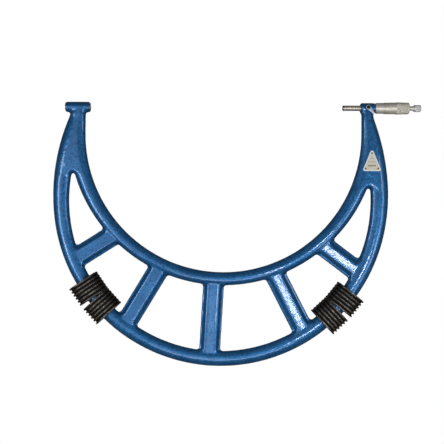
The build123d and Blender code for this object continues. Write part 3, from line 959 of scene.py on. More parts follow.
    def dabs(self, points: np.ndarray) -> np.ndarray:
        """Height that a pit and some thick drops of paint add to the front face.

        Each adds its height times exp(-(r / size)^2), where r is the distance seen from above.

        Args:
            points: Points of the skin.

        Returns:
            What is added at each.
        """
        added = np.zeros(len(points))
        for x, y, height in self.drops:
            reach = np.hypot(points[:, 0] - x, points[:, 1] - y) / self.drop_size
            added = added + height * np.exp(-(reach**2))
        return np.where(points[:, 2] > self.half_thickness / 2, added, 0)

    def ripple(self, points: np.ndarray) -> np.ndarray:
        """Unevenness of the casting, never above the smooth skin.

        It is the amplitude times the sum of cosines of k . p + phase over the root of their
        number, less two amplitudes, with directions, lengths and phases from a fixed seed.

        Args:
            points: Points of the skin.

        Returns:
            Height of each along its normal.
        """
        drawn = np.random.default_rng(self.seed)
        heading = drawn.normal(size=(self.wave_count, 3))
        heading /= np.linalg.norm(heading, axis=1, keepdims=True)
        wave = drawn.uniform(self.shortest_wave, self.longest_wave, self.wave_count)
        phase = drawn.uniform(0, FULL_TURN, self.wave_count)
        total = np.cos(points @ (heading * (FULL_TURN / wave)[:, None]).T + phase).sum(axis=1)
        return self.unevenness * (total / math.sqrt(self.wave_count) - 2)

    def cutters(self) -> list[Mesh]:
        """Makes what is cut from the skin.

        Returns:
            Bars for the two bores, and for the seat and the hole of the spindle lock.
        """
        margin = self.cut_margin
        made = [self.bar(start - margin, end + margin, radius) for start, end, radius in self.bores()]
        screw_low, screw_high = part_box("lock_screw")
        lever_low, lever_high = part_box("lock_lever")
        upright = Matrix.Rotation(math.radians(-90), 4, "Y")
        centre = ((screw_low.x + screw_high.x) / 2, (screw_low.y + screw_high.y) / 2, 0)
        for start, radius in (
            (lever_low.z - self.seat_play, self.seat_radius), (screw_low.z, self.hole_radius),
        ):
            bar = self.bar(start, lever_high.z, radius)
            bar.transform(Matrix.Translation(centre) @ upright)
            made.append(bar)
        return made

    def cut(self, mesh: Mesh) -> Mesh:
        """Cuts the bores, the seat and the hole.

        Args:
            mesh: The closed skin.

        Returns:
            The cut skin.
        """
        piece = link("casting", mesh)
        tools = [link("cutter", cutter) for cutter in self.cutters()]
        for tool in tools:
            cut = piece.modifiers.new("bore", "BOOLEAN")
            cut.operation = "DIFFERENCE"
            cut.solver = "MANIFOLD"
            cut.object = tool
        mesh = finished(piece)
        for tool in tools:
            bpy.data.objects.remove(tool)
        return mesh

    def build(self) -> None:
        """Makes the skin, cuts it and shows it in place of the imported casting."""
        mesh = self.skin()
        neighbours = Neighbours(mesh)
        points = self.crowned(self.smoothed(points_of(mesh), neighbours), neighbours)
        points[:, 2] += self.dabs(points)
        set_points(mesh, points)
        mesh.update()
        normals = np.zeros(3 * len(mesh.vertices), np.float32)
        mesh.vertices.foreach_get("normal", normals)
        set_points(mesh, points + self.ripple(points)[:, None] * normals.reshape(-1, 3))
        finish = self.finishes.enamel
        add_piece("frame_skin", self.cut(mesh), Body.FRAME, finish, ["frame_casting"], self.crease_angle)


@dataclass
class AnvilBush:
    """Steel bush that the interchangeable anvils slide in."""

    finishes: Finishes
    wall: float = 1.4 * MM
    edge_round: float = 0.3 * MM

    def build(self) -> None:
        """Turns the bush from its box and its wall."""
        low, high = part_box("anvil_bush")
        inner = high.y - self.wall
        outline = [(low.x, inner), (low.x, high.y), (high.x, high.y), (high.x, inner)]
        mesh = turned(rounded(outline, self.edge_round, True), True)
        add_piece("anvil_bush_turned", mesh, Body.FRAME, self.finishes.machined, ["anvil_bush"])


@dataclass
class GripBlock:
    """One ribbed grip block on the outer rim, as a front and a back half."""

    finishes: Finishes
    node: str
    rim_centre: tuple[float, float] = (214.4 * MM, -136.7 * MM)
    half_width: float = 23.75 * MM
    length: float = 29.9 * MM
    fin_count: int = 6
    fin_thickness: float = 2.7 * MM
    fin_depth: float = 3.0 * MM
    back_fin_depth: float = 0.7 * MM
    fin_round: float = 0.95 * MM
    round_middle: float = 0.3
    squareness: float = 3.1
    tunnel_half_width: float = 10.6 * MM
    tunnel_half_height: float = 6.9 * MM
    tunnel_squareness: float = 3.0
    columns: int = 64
    groove_share: float = 0.12
    # Band across the block where the ribs are rubbed and a highlight is painted on them.
    rub_and_highlight_place: float = 2.0 * MM
    rub_and_highlight_width: float = 12.0 * MM
    neighbour_turn: float = 4.0
    neighbour_gap: float = 0.25 * MM
    side_blend: float = 2.0 * MM
    reach: float = 3.0 * MM

    def stations(self, fin_depth: float) -> np.ndarray:
        """Places along the rim and how far the section is drawn in there, fin after fin.

        Args:
            fin_depth: Depth of the grooves.

        Returns:
            A row for each station.
        """
        half = self.fin_thickness / 2
        rounding = self.fin_round
        bend = self.round_middle * rounding
        rise = [(-half, fin_depth), (-half, rounding), (-half + bend, bend), (-half + rounding, 0)]
        fin = np.array(rise + [(-place, inset) for place, inset in reversed(rise)])
        pitch = (self.length - self.fin_thickness) / (self.fin_count - 1)
        middle = (np.arange(self.fin_count) - (self.fin_count - 1) / 2) * pitch
        every = np.tile(fin, (self.fin_count, 1))
        every[:, 0] += np.repeat(middle, len(fin))
        return every[1:-1]

    def section(self, half_width: np.ndarray, half_height: np.ndarray, power: float) -> np.ndarray:
        """Upper half of a rounded section.

        At the angle t the point lies (|cos t / width|^n + |sin t / height|^n)^(-1 / n) from the
        middle, which is a box with round corners, squarer as n grows.

        Args:
            half_width: Half the width at each station.
            half_height: Half the height at each station.
            power: The power n.

        Returns:
            A row of (x, z) points for each station.
        """
        turn = np.linspace(0, math.pi, self.columns + 1)
        across = np.abs(np.cos(turn) / half_width[:, None]) ** power
        upward = np.abs(np.sin(turn) / half_height[:, None]) ** power
        reach = (across + upward) ** (-1 / power)
        return np.stack([reach * np.cos(turn), reach * np.sin(turn)], axis=-1)

    def rings(self, crown: float, split: float, side: int) -> np.ndarray:
        """Rings that run over the fins and back along the tunnel of the rim.

        Args:
            crown: Height of the fins over the middle plane.
            split: Height of the split face.
            side: 1 for the front half, -1 for the back one.

        Returns:
            A ring of (across, along, up) points for each station.
        """
        along, inset = self.stations(self.fin_depth if side > 0 else self.back_fin_depth).T
        outer = self.section(self.half_width - inset, crown - inset, self.squareness)
        flat = np.zeros_like(along)
        inner = self.section(
            flat + self.tunnel_half_width, flat + self.tunnel_half_height, self.tunnel_squareness
        )
        ring = np.concatenate([outer, inner[:, ::-1]], axis=1)
        y = np.repeat(along[:, None], ring.shape[1], axis=1)
        return np.stack([ring[..., 0], y, np.maximum(ring[..., 1], split) * side], axis=-1)

    def half(self, low: Vector, high: Vector, side: int) -> Mesh:
        """One half; strips from the outer to the inner run close both ends.

        Args:
            low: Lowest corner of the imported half.
            high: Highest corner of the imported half.
            side: 1 for the front half, -1 for the back one.

        Returns:
            The closed mesh.
        """
        centre = (low + high) / 2
        crown = max(abs(low.z), abs(high.z))
        rings = self.rings(crown, min(abs(low.z), abs(high.z)), side)
        stations, count = rings.shape[:2]
        x, y, z = np.moveaxis(rings, -1, 0)
        out = (centre.x - self.rim_centre[0], centre.y - self.rim_centre[1])
        angle = math.atan2(out[1], out[0])
        y = self.reached_over(x, y, math.hypot(*out))
        points = np.stack([
            centre.x + x * math.cos(angle) - y * math.sin(angle),
            centre.y + x * math.sin(angle) + y * math.cos(angle),
            z,
        ], axis=-1)
        one = np.arange(count // 2 - 1)
        cap = np.stack([one, one + 1, count - 2 - one, count - 1 - one], axis=1)
        last = (stations - 1) * count
        faces = np.vstack([grid_quads(stations, count, False, True), cap, cap + last])
        mesh = mesh_of(points.reshape(-1, 3), faces)
        self.mark_grooves(mesh, centre, angle, crown)
        return mesh

    def reached_over(self, x: np.ndarray, y: np.ndarray, radius: float) -> np.ndarray:
        """Places along the rim with the end next to the other block of the pair drawn to it.

        On the inner side the end moves to the gap's distance from the plane between both blocks,
        which lies (radius + x) tan(turn) along the rim.

        Args:
            x: Places across the block.
            y: Places along the rim.
            radius: Distance of the block's middle from the middle of the rim.

        Returns:
            The new places along the rim.
        """
        left = "left" in self.node
        toward = 1 if left == ("upper" in self.node) else -1
        plane = (radius + x) * math.tan(math.radians(self.neighbour_turn)) - self.neighbour_gap
        at_end = y * toward > (self.length - self.fin_thickness) / 2
        inner_side = np.clip(-(x + self.tunnel_half_width) / self.side_blend + 1, 0, 1)
        share = inner_side * np.clip((y * toward - plane + self.reach) / self.reach, 0, 1)
        reached = y + toward * share * np.maximum(plane - y * toward, 0)
        return np.where(at_end, reached, y)

    def mark_grooves(self, mesh: Mesh, centre: Vector, angle: float, crown: float) -> None:
        """Keeps with each point how deep it lies under the ribs, which places the painted groove shade,
        and how far it lies in the band of rub wear and painted highlight, 0 to 1.

        The depth is 1 - q over a share, where q = (|x / width|^n + |z / height|^n)^(1 / n) is 1 on
        a rib, and the band of rub and highlight is exp(-((x - place) / width)^2) across the block.

        Args:
            mesh: Mesh of one half.
            centre: Middle of the block.
            angle: Heading of the block's width, in radians.
            crown: Height of the ribs over the middle plane.
        """
        place = points_of(mesh) - np.array(centre)
        across = place[:, 0] * math.cos(angle) + place[:, 1] * math.sin(angle)
        height = points_of(mesh)[:, 2]
        power = self.squareness
        share = np.abs(across / self.half_width) ** power + np.abs(height / crown) ** power
        depth = np.clip((1 - share ** (1 / power)) / self.groove_share, 0, 1)
        rub_and_highlight = np.exp(-(((across - self.rub_and_highlight_place) / self.rub_and_highlight_width) ** 2))
        for name, values in (("groove", depth), ("rub_and_highlight", rub_and_highlight)):
            kept = mesh.attributes.new(name, "FLOAT", "POINT")
            kept.data.foreach_set("value", values.astype(np.float32))

    def build(self) -> None:
        """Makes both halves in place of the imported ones."""
        for level, side in (("front", 1), ("back", -1)):
            node = f"{self.node}_{level}"
            mesh = self.half(*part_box(node), side)
            add_piece(f"{node}_ribbed", mesh, Body.FRAME, self.finishes.grip, [node])


@dataclass
class Nameplate:
    """Three-cornered plate with a raised border round a bare cream field, and its rivets."""

    finishes: Finishes
    corner_radius: float = 2.6 * MM
    border: float = 1.3 * MM
    recess: float = 0.18 * MM
    film: float = 0.03 * MM
    bar: tuple[Mark, ...] = ((0.0, 8.0 * MM, 12.0 * MM, 2.4 * MM),)
    band: tuple[Mark, ...] = ((0.0, 13.6 * MM, 11.0 * MM, 1.6 * MM),)
    rows: tuple[Mark, ...] = (
        (0.0, 18.4 * MM, 6.4 * MM, 1.0 * MM),
        (0.0, 20.8 * MM, 4.0 * MM, 0.8 * MM),
        (-4.6 * MM, 3.6 * MM, 1.2 * MM, 0.8 * MM),
        (0.0, 3.6 * MM, 1.2 * MM, 0.8 * MM),
        (4.6 * MM, 3.6 * MM, 1.2 * MM, 0.8 * MM),
    )
    outline_points: int = 90

    def outline(self, inset: float) -> np.ndarray:
        """Outline of the plate, drawn in by an inset.

        For each direction n the point is the corner centre that reaches furthest along n, plus
        the corner radius less the inset times n.

        Args:
            inset: How far the outline is drawn in.

        Returns:
            Its points, one a row.
        """
        low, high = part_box("nameplate")
        radius = self.corner_radius
        corners = np.array([
            (low.x + radius, low.y + radius),
            (high.x - radius, low.y + radius),
            ((low.x + high.x) / 2, high.y - radius),
        ])
        turn = np.arange(self.outline_points) / self.outline_points * FULL_TURN
        facing = np.stack([np.cos(turn), np.sin(turn)], axis=1)
        return corners[np.argmax(facing @ corners.T, axis=1)] + (radius - inset) * facing

    def layered(self, rows: Sequence[tuple[float, float]]) -> Mesh:
        """Shape whose rows are outlines, closed at its middle below and above.

        Args:
            rows: (inset, z) of each row.

        Returns:
            The closed mesh.
        """
        middle = self.outline(0).mean(axis=0)
        rings = [(self.outline(inset), z) for inset, z in rows]
        rings = [(0 * rings[0][0] + middle, rows[0][1]), *rings, (0 * rings[0][0] + middle, rows[-1][1])]
        points = np.concatenate([np.column_stack([ring, np.full(len(ring), z)]) for ring, z in rings])
        return mesh_of(points, grid_quads(len(rings), self.outline_points, False, True))

    def marks(self, marks: Sequence[Mark], level: float) -> Mesh:
        """Thin boxes on the field, one for each mark.

        Args:
            marks: For each its place beside the middle and over the base, its width and height.
            level: Height of the field.

        Returns:
            The closed boxes as one mesh.
        """
        low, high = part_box("nameplate")
        middle = (low.x + high.x) / 2
        boxes = np.array(marks)
        corner = np.array([(x, y, z) for z in (0, 1) for x, y in ((-1, -1), (1, -1), (1, 1), (-1, 1))])
        points = np.stack([
            middle + boxes[:, :1] + corner[:, 0] * boxes[:, 2:3] / 2,
            low.y + boxes[:, 1:2] + corner[:, 1] * boxes[:, 3:] / 2,
            level + corner[:, 2] * self.film + 0 * boxes[:, :1],
        ], axis=-1)
        cube = np.array([
            (0, 1, 2, 3), (4, 5, 6, 7), (0, 1, 5, 4), (1, 2, 6, 5), (2, 3, 7, 6), (3, 0, 4, 7)
        ])
        faces = (cube[None] + 8 * np.arange(len(boxes))[:, None, None]).reshape(-1, 4)
        return mesh_of(points.reshape(-1, 3), faces)

    def build(self) -> None:
        """Makes the plate, its field, its marks and its rivets."""
        low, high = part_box("nameplate")
        edge = self.recess / 2
        floor = high.z - self.recess
        plate = self.layered([
            (0, low.z), (0, high.z - edge), (edge, high.z), (self.border - edge, high.z),
            (self.border, floor),
        ])
        field = self.layered([(self.border, floor - self.film), (self.border, floor + self.film)])
        finishes = self.finishes
        add_piece("nameplate_pressed", plate, Body.FRAME, finishes.plate, ["nameplate"])
        add_piece("nameplate_field", field, Body.FRAME, finishes.cream)
        for name, marks, finish in (
            ("nameplate_bar", self.bar, finishes.tan),
            ("nameplate_band", self.band, finishes.grey),
            ("nameplate_rows", self.rows, finishes.faint),
        ):
            add_piece(name, self.marks(marks, floor + self.film), Body.FRAME, finish)
        rivets = merged_copy("nameplate_rivets")
        add_piece("nameplate_rivets_domed", rivets, Body.FRAME, finishes.dark, ["nameplate_rivets"])


@dataclass(frozen=True)
class Engraving:
    """Filled lines and plain numbers on a cylinder about the measuring axis."""

    ink: Finish
    body: Body
    radius: float
    line_width: float = 0.14 * MM
    line_height: float = 0.02 * MM
    numeral_size: float = 1.7 * MM
    cap_share: float = 0.7
    columns: int = 4
    slices: int = 5
    curve_points: int = 3

    def add_strokes(
        self, name: str, x: np.ndarray, angle: np.ndarray, length: np.ndarray, turn: np.ndarray
    ) -> None:
        """Adds strokes as thin bars bent round the axis, from just under the surface to just over.

        Args:
            name: Name of the piece.
            x: Place along the axis where each stroke starts.
            angle: Angle at which each starts.
            length: Length of each along the axis.
            turn: Angle that each covers.
        """
        share = np.linspace(0, 1, self.columns + 1)
        ring_x = np.array([0.0, 1.0, 1.0, 0.0])
        ring_r = np.array([-1.0, -1.0, 1.0, 1.0]) * self.line_height + self.radius
        x = x[:, None, None] + length[:, None, None] * ring_x + 0 * share[None, :, None]
        angle = angle[:, None, None] + turn[:, None, None] * share[None, :, None] + 0 * ring_x
        points = np.stack([x, ring_r * np.sin(angle), ring_r * np.cos(angle)], axis=-1)
        count = 4 * (self.columns + 1)
        ends = np.array([[3, 2, 1, 0], [count - 4, count - 3, count - 2, count - 1]])
        one = np.vstack([grid_quads(self.columns + 1, 4, False, True), ends])
        offsets = np.arange(len(x))[:, None, None] * count
        mesh = mesh_of(points.reshape(-1, 3), (one[None] + offsets).reshape(-1, 4))
        add_piece(name, mesh, self.body, self.ink)

    def flat_number(self, label: str) -> Mesh:
        """Number as a slab about its middle, cut across its height so that it can be bent.

        Args:
            label: The number.

        Returns:
            The slab, one high and one thick.
        """
        curve = bpy.data.curves.new("number", "FONT")
        curve.body = label
        curve.size = 1.0
        curve.resolution_u = self.curve_points
        curve.extrude = 0.5
        curve.align_x = "CENTER"
        curve.align_y = "CENTER"
        mesh = finished(link("number", curve))
        levels = points_of(mesh)[:, 1]
        with editing(mesh) as work:
            for level in np.linspace(levels.min(), levels.max(), self.slices + 1)[1:-1]:
                whole = [*work.verts, *work.edges, *work.faces]
                bmesh.ops.bisect_plane(work, geom=whole, plane_co=(0, level, 0), plane_no=(0, 1, 0))
        return mesh

    def add_numbers(self, name: str, places: dict[str, tuple[float, float]]) -> None:
        """Adds numbers wrapped round the surface.

        A flat point (u, v, w) of a number at (x, angle a) goes to the axial place x + u, the angle
        a + v / radius and the radius plus w, where u and v count from the middle of the number.

        Args:
            name: Name of the piece.
            places: (x, angle) of the middle of each number.
        """
        mesh = bpy.data.meshes.new(name)
        tall = self.numeral_size / self.cap_share
        with editing(mesh) as work:
            for label, (x, angle) in places.items():
                flat = self.flat_number(label)
                points = points_of(flat)
                turn = angle + points[:, 1] * tall / self.radius
                level = self.radius + 2 * self.line_height * points[:, 2]
                along = x + points[:, 0] * tall
                set_points(flat, np.stack([along, level * np.sin(turn), level * np.cos(turn)], axis=1))
                work.from_mesh(flat)
                bpy.data.meshes.remove(flat)
            bmesh.ops.remove_doubles(work, verts=work.verts, dist=MERGE_DISTANCE)
            bmesh.ops.recalc_face_normals(work, faces=work.faces)
        add_piece(name, mesh, self.body, self.ink)


@dataclass
class Sleeve:
    """Sleeve with a datum line, and a scale of whole and half millimetres with numbers."""

    finishes: Finishes
    chamfer: float = 1.8 * MM
    bore: float = 5.53 * MM
    edge_round: float = 0.15 * MM
    scale_length: int = 25
    number_step: int = 5
    long_tick: float = 2.6 * MM
    short_tick: float = 1.7 * MM
    number_lift: float = 0.75

    def scale(self, engraving: Engraving, start: float) -> None:
        """Adds the datum line, the scale and the numbers.

        Args:
            engraving: How they are made.
            start: Place along the axis where the datum line starts.
        """
        width, radius = engraving.line_width, engraving.radius
        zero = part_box("thimble")[0].x
        number = np.arange(self.scale_length + 1)
        whole = zero + MM * number
        half = whole[:-1] + 0.5 * MM
        datum = np.array([start])
        engraving.add_strokes(
            "sleeve_datum_line", datum, np.array([-width / 2 / radius]),
            np.array([whole[-1] + MM]) - datum, np.array([width / radius]),
        )
        tick_x = np.concatenate([whole, half]) - width / 2
        short_turn = self.short_tick / radius
        above = np.where(number % self.number_step == 0, self.long_tick / radius, short_turn)
        turns = np.concatenate([above, 0 * half - short_turn])
        engraving.add_strokes("sleeve_scale", tick_x, 0 * tick_x, 0 * tick_x + width, turns)
        up = (self.long_tick + self.number_lift * engraving.numeral_size) / radius
        shown = range(0, self.scale_length + 1, self.number_step)
        engraving.add_numbers("sleeve_numbers", {str(one): (zero + one * MM, up) for one in shown})

    def build(self) -> None:
        """Makes the sleeve and its scale."""
        low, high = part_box("graduated_sleeve")
        chamfer_end = low.x + self.chamfer
        outline = rounded([
            (low.x, self.bore), (low.x, high.y - self.chamfer / 2), (chamfer_end, high.y),
            (high.x, high.y), (high.x, self.bore),
        ], self.edge_round, True)
        mesh = turned(outline, True)
        add_piece("sleeve_turned", mesh, Body.FRAME, self.finishes.chrome, ["graduated_sleeve"])
        self.scale(Engraving(self.finishes.ink, Body.FRAME, high.y), chamfer_end + MM)


@dataclass(frozen=True)
class TaperSeat:
    """Taper in the thimble's end wall that the spindle's end sits in."""

    wall: float = 4.0 * MM
    large: float = 3.5 * MM
    small: float = 3.1 * MM


@dataclass
class Thimble:
    """Thimble with a graduated bevel, and a knurled grip that tapers to its end."""

    finishes: Finishes
    seat: TaperSeat = TaperSeat()
    bore: float = 8.15 * MM
    lip: float = 0.25 * MM
    bevel_length: float = 9.0 * MM
    front_radius: float = 8.6 * MM
    smooth_length: float = 16.8 * MM
    step_length: float = 1.0 * MM
    end_radius: float = 8.65 * MM
    end_chamfer: float = 0.6 * MM
    edge_round: float = 0.12 * MM
    knurl_teeth: int = 64
    points_per_tooth: int = 6
    knurl_depth: float = 0.22 * MM
    knurl_step: float = 0.15 * MM
    knurl_margin: float = 0.4 * MM
    knurl_groove: float = 0.32
    knurl_clearance: float = 0.1 * MM
    divisions: int = 50
    number_step: int = 5
    long_line: float = 3.2 * MM
    short_line: float = 2.0 * MM
    line_start: float = 0.2 * MM
    line_rise: float = 0.05 * MM
    number_place: float = 5.4 * MM
    number_rise: float = 0.1 * MM

    def knurl(self, start: float, end: float) -> Relief:
        """Diamond knurl between two places.

        Two families of V grooves run as screws both ways. Each is the distance from the nearest
        whole number of n a / 2 pi +- x / p, where n is the number of teeth and p the pitch, and
        the depth follows the nearer groove.

        Args:
            start: Where the knurl starts along the axis.
            end: Where it ends.

        Returns:
            The relief.
        """
        grip_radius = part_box("thimble")[1].y
        pitch = FULL_TURN * grip_radius / self.knurl_teeth

        def relief(x: np.ndarray, angle: np.ndarray, radius: np.ndarray) -> np.ndarray:
            """Depth of the knurl, nothing outside its band and on the bore.

            Args:
                x: Place along the axis.
                angle: Angle round the axis.
                radius: Radius of the turned surface.

            Returns:
                What is added to the radius.
            """
            turn = self.knurl_teeth * angle / FULL_TURN
            one = np.abs((turn + x / pitch + 0.5) % 1 - 0.5)
            other = np.abs((turn - x / pitch + 0.5) % 1 - 0.5)
            groove = np.clip(1 - np.minimum(one, other) / self.knurl_groove, 0, 1)
            inside = (x > start) & (x < end) & (radius > self.bore + self.knurl_clearance)
            return np.where(inside, -self.knurl_depth * groove, 0)

        return relief

    def scale(self, start: float) -> None:
        """Adds the divisions and numbers on the bevel.

        Args:
            start: Place of the thimble's front end along the axis.
        """
        radius = self.bore + self.lip + self.line_rise
        lines = Engraving(self.finishes.ink, Body.THIMBLE, radius)
        number = np.arange(self.divisions)
        angle = number / self.divisions * FULL_TURN
        length = np.where(number % self.number_step == 0, self.long_line, self.short_line)
        half = lines.line_width / 2 / radius
        lines.add_strokes(
            "thimble_divisions", 0 * angle + start + self.line_start, angle - half, length,
            0 * angle + 2 * half,
        )
        numbers = Engraving(
            self.finishes.ink, Body.THIMBLE, radius + self.number_rise, line_height=2 * lines.line_height
        )
        place = start + self.number_place
        numbers.add_numbers("thimble_numbers", {
            str(one): (place, one / self.divisions * FULL_TURN)
            for one in range(0, self.divisions, self.number_step)
        })

    def build(self) -> None:
        """Makes the thimble and its scale."""
        low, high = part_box("thimble")
        smooth_end = low.x + self.smooth_length
        grip_x = low.x + self.smooth_length + self.step_length
        end_x = high.x - self.end_chamfer
        wall_x = high.x - self.seat.wall
        front = rounded([
            (low.x, self.bore), (low.x, self.bore + self.lip),
            (low.x + self.bevel_length, self.front_radius), (smooth_end, self.front_radius),
            (grip_x, high.y),
        ], self.edge_round, False)
        count = int((end_x - grip_x) / self.knurl_step)
        share = np.linspace(0, 1, count)[1:-1, None]
        band = (1 - share) * np.array([[grip_x, high.y]]) + share * np.array([[end_x, self.end_radius]])
        back = rounded([
            (end_x, self.end_radius), (high.x, self.end_radius - self.end_chamfer),
            (high.x, self.seat.small), (wall_x, self.seat.large), (wall_x, self.bore),
        ], self.edge_round, False)
        relief = self.knurl(grip_x + self.knurl_margin, end_x - self.knurl_margin)
        segments = self.points_per_tooth * self.knurl_teeth
        mesh = turned(np.vstack([front, band, back]), True, segments, relief)
        add_piece("thimble_turned", mesh, Body.THIMBLE, self.finishes.chrome, ["thimble"])
        self.scale(low.x)


@dataclass
class Spindle:
    """Ground spindle with its screw thread, and the hard tip."""

    finishes: Finishes
    seat: TaperSeat = TaperSeat()
    bar_radius: float = 4.0 * MM
    nut_length: float = 12.0 * MM
    free_length: float = 27.0 * MM
    shoulder_length: float = 1.0 * MM
    screw_radius: float = 3.7 * MM
    screw_lead_in: float = 0.5 * MM
    screw_run_out: float = 0.8 * MM
    screw_floor: float = 3.0 * MM
    screw_pitch: float = 0.5 * MM
    thread_depth: float = 0.27 * MM
    rows_a_turn: int = 6
    segments: int = 48
    crease_angle: float = 50.0
    hole_radius: float = 2.05 * MM
    hole_depth: float = 6.05 * MM
    tip_round: float = 0.25 * MM

    def thread(self, start: float, end: float) -> Relief:
        """V thread between two places.

        The depth follows the distance from the nearest whole x / pitch - a / 2 pi.

        Args:
            start: Where the thread starts along the axis.
            end: Where it ends.

        Returns:
            The relief.
        """

        def relief(x: np.ndarray, angle: np.ndarray, radius: np.ndarray) -> np.ndarray:
            """Depth of the thread, nothing outside its length and in the hole.

            Args:
                x: Place along the axis.
                angle: Angle round the axis.
                radius: Radius of the turned surface.

            Returns:
                What is added to the radius.
            """
            turn = x / self.screw_pitch + angle / FULL_TURN
            depth = 1 - 2 * np.abs(turn % 1 - 0.5)
            inside = (x >= start) & (x <= end) & (radius > self.screw_floor)
            return np.where(inside, -self.thread_depth * depth, 0)

        return relief

    def build(self) -> None:
        """Makes the spindle and its tip."""
        low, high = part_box("spindle")
        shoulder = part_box("inner_sleeve")[1].x - self.nut_length - self.free_length
        cone_start = high.x - self.seat.wall
        start = shoulder + self.screw_lead_in
        end = cone_start - self.screw_run_out
        rows = int((end - start) / (self.screw_pitch / self.rows_a_turn))
        bar_end = shoulder - self.shoulder_length
        hole_x = high.x - self.hole_depth
        outline = np.vstack([
            [(low.x, 0), (low.x, self.bar_radius), (bar_end, self.bar_radius)],
            np.linspace((start, self.screw_radius), (end, self.screw_radius), rows),
            [(cone_start, self.seat.large), (high.x, self.seat.small), (high.x, self.hole_radius),
             (hole_x, self.hole_radius), (hole_x, 0)],
        ])
        mesh = turned(outline, False, self.segments, self.thread(start, end))
        finishes = self.finishes
        add_piece("spindle_ground", mesh, Body.SPINDLE, finishes.ground, ["spindle"], self.crease_angle)
        low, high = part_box("spindle_tip")
        outline = [(low.x, 0), (low.x, high.y), (high.x, high.y), (high.x, 0)]
        mesh = turned(rounded(outline, self.tip_round, False), False)
        add_piece("spindle_tip_ground", mesh, Body.SPINDLE, finishes.carbide, ["spindle_tip"])


@dataclass
class RatchetKnob:
    """Fluted knob with two turned grooves, hollow over the ratchet's teeth and spring."""

    finishes: Finishes
    stem: float = 2.05 * MM
    wall: float = 1.4 * MM
    start_round: float = 0.5 * MM
    groove: tuple[float, float, float] = (2.0 * MM, 2.3 * MM, 2.6 * MM)
    groove_depth: float = 0.2 * MM
    dome_start: tuple[float, float] = (0.8 * MM, 0.25 * MM)
    dome_drop: float = 1.6 * MM
    recess_radius: float = 2.85 * MM
    recess_depth: float = 1.2 * MM
    floor_depth: float = 2.2 * MM
    edge_round: float = 0.25 * MM
    flutes: int = 40
    points_per_flute: int = 8
    flute_depth: float = 0.18 * MM
    flute_margin: float = 0.1 * MM

    def outline(self, low: Vector, high: Vector) -> np.ndarray:
        """Outline of the knob as a loop clear of the axis.

        Args:
            low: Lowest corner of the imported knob.
            high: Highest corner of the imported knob.

        Returns:
            Its points, one a row.
        """
        first, middle, last = self.groove
        bottom = high.y - self.groove_depth
        floor_x, recess_x = high.x - self.floor_depth, high.x - self.recess_depth
        return rounded([
            (low.x, high.y - self.wall), (low.x, high.y - self.start_round),
            (low.x + self.start_round, high.y),
            (low.x + first, high.y), (low.x + middle, bottom), (low.x + last, high.y),
            (high.x - last, high.y), (high.x - middle, bottom), (high.x - first, high.y),
            (high.x - self.dome_start[0], high.y - self.dome_start[1]),
            (high.x, high.y - self.dome_drop), (high.x, self.recess_radius),
            (recess_x, self.recess_radius), (recess_x, self.stem),
            (floor_x, self.stem), (floor_x, high.y - self.wall),
        ], self.edge_round, True)

    def build(self) -> None:
        """Turns the knob and flutes it between its grooves."""
        low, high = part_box("ratchet_knob")
        start, end = low.x + self.groove[-1], high.x - self.groove[-1]

        def relief(x: np.ndarray, angle: np.ndarray, radius: np.ndarray) -> np.ndarray:
            """Round flutes along the knob: depth times the square of the sine of n a / 2."""
            inside = (x >= start) & (x <= end) & (radius > high.y - self.flute_margin)
            return np.where(inside, -self.flute_depth * np.sin(self.flutes * angle / 2) ** 2, 0)

        segments = self.points_per_flute * self.flutes
        mesh = turned(self.outline(low, high), True, segments, relief)
        add_piece("ratchet_knob_turned", mesh, Body.RATCHET, self.finishes.knob, ["ratchet_knob"])


@dataclass
class SpindleLock:
    """Lever and screw that clamp the spindle."""

    finishes: Finishes
    lever_round: float = 0.35 * MM
    screw_round: float = 0.12 * MM

    def build(self) -> None:
        """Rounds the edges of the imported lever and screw."""
        lever = softened_copy("lock_lever", self.lever_round)
        add_piece("lock_lever_cast", lever, Body.LOCK, self.finishes.lever, ["lock_lever"])
        screw = softened_copy("lock_screw", self.screw_round)
        add_piece("lock_screw_black", screw, Body.LOCK, self.finishes.dark, ["lock_screw"])


def dress_packed_nodes(finishes: Finishes) -> None:
    """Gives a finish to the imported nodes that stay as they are.

    Args:
        finishes: The instrument's finishes.
    """
    chosen = {
        "inner_sleeve": finishes.machined,
        "adjusting_nut": finishes.machined,
        "ratchet_body": finishes.chrome,
        "ratchet_toothed_disc": finishes.spring,
        "ratchet_pawl_ring": finishes.spring,
        "ratchet_spring": finishes.spring,
        "ratchet_screw": finishes.bright,
        "lock_pad": finishes.brass,
        "grip_screws": finishes.dark,
    }
    for node, finish in chosen.items():
        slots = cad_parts[node].data.materials
        slots.clear()
        slots.append(finish.material)
        log.info("%s: packed node with %s", node, finish.material.name)


# Studio


@dataclass(frozen=True)
class SoftBox:
    """Rectangular light over the table that looks at the middle of the instrument.

    The heading is in degrees from +X seen from above, the width lies along the table and the
    depth slopes up.
    """

    name: str
    heading: float
    distance: float
    height: float
    width: float
    depth: float
    power: float

    def hang(self, middle: tuple[float, float]) -> None:
        """Puts the light up, turned to the instrument.

        Args:
            middle: Middle of the instrument.
        """
        data = bpy.data.lights.new(self.name, "AREA")
        data.shape = "RECTANGLE"
        data.size, data.size_y = self.width, self.depth
        data.energy = self.power
        lamp = link(self.name, data)
        heading = math.radians(self.heading)
        out = Vector((math.cos(heading), math.sin(heading), 0)) * self.distance
        lamp.location = Vector((*middle, self.height)) + out
        aim = Vector((*middle, 0)) - lamp.location
        lamp.rotation_euler = aim.to_track_quat("-Z", "Y").to_euler()
        lamp.visible_camera = False


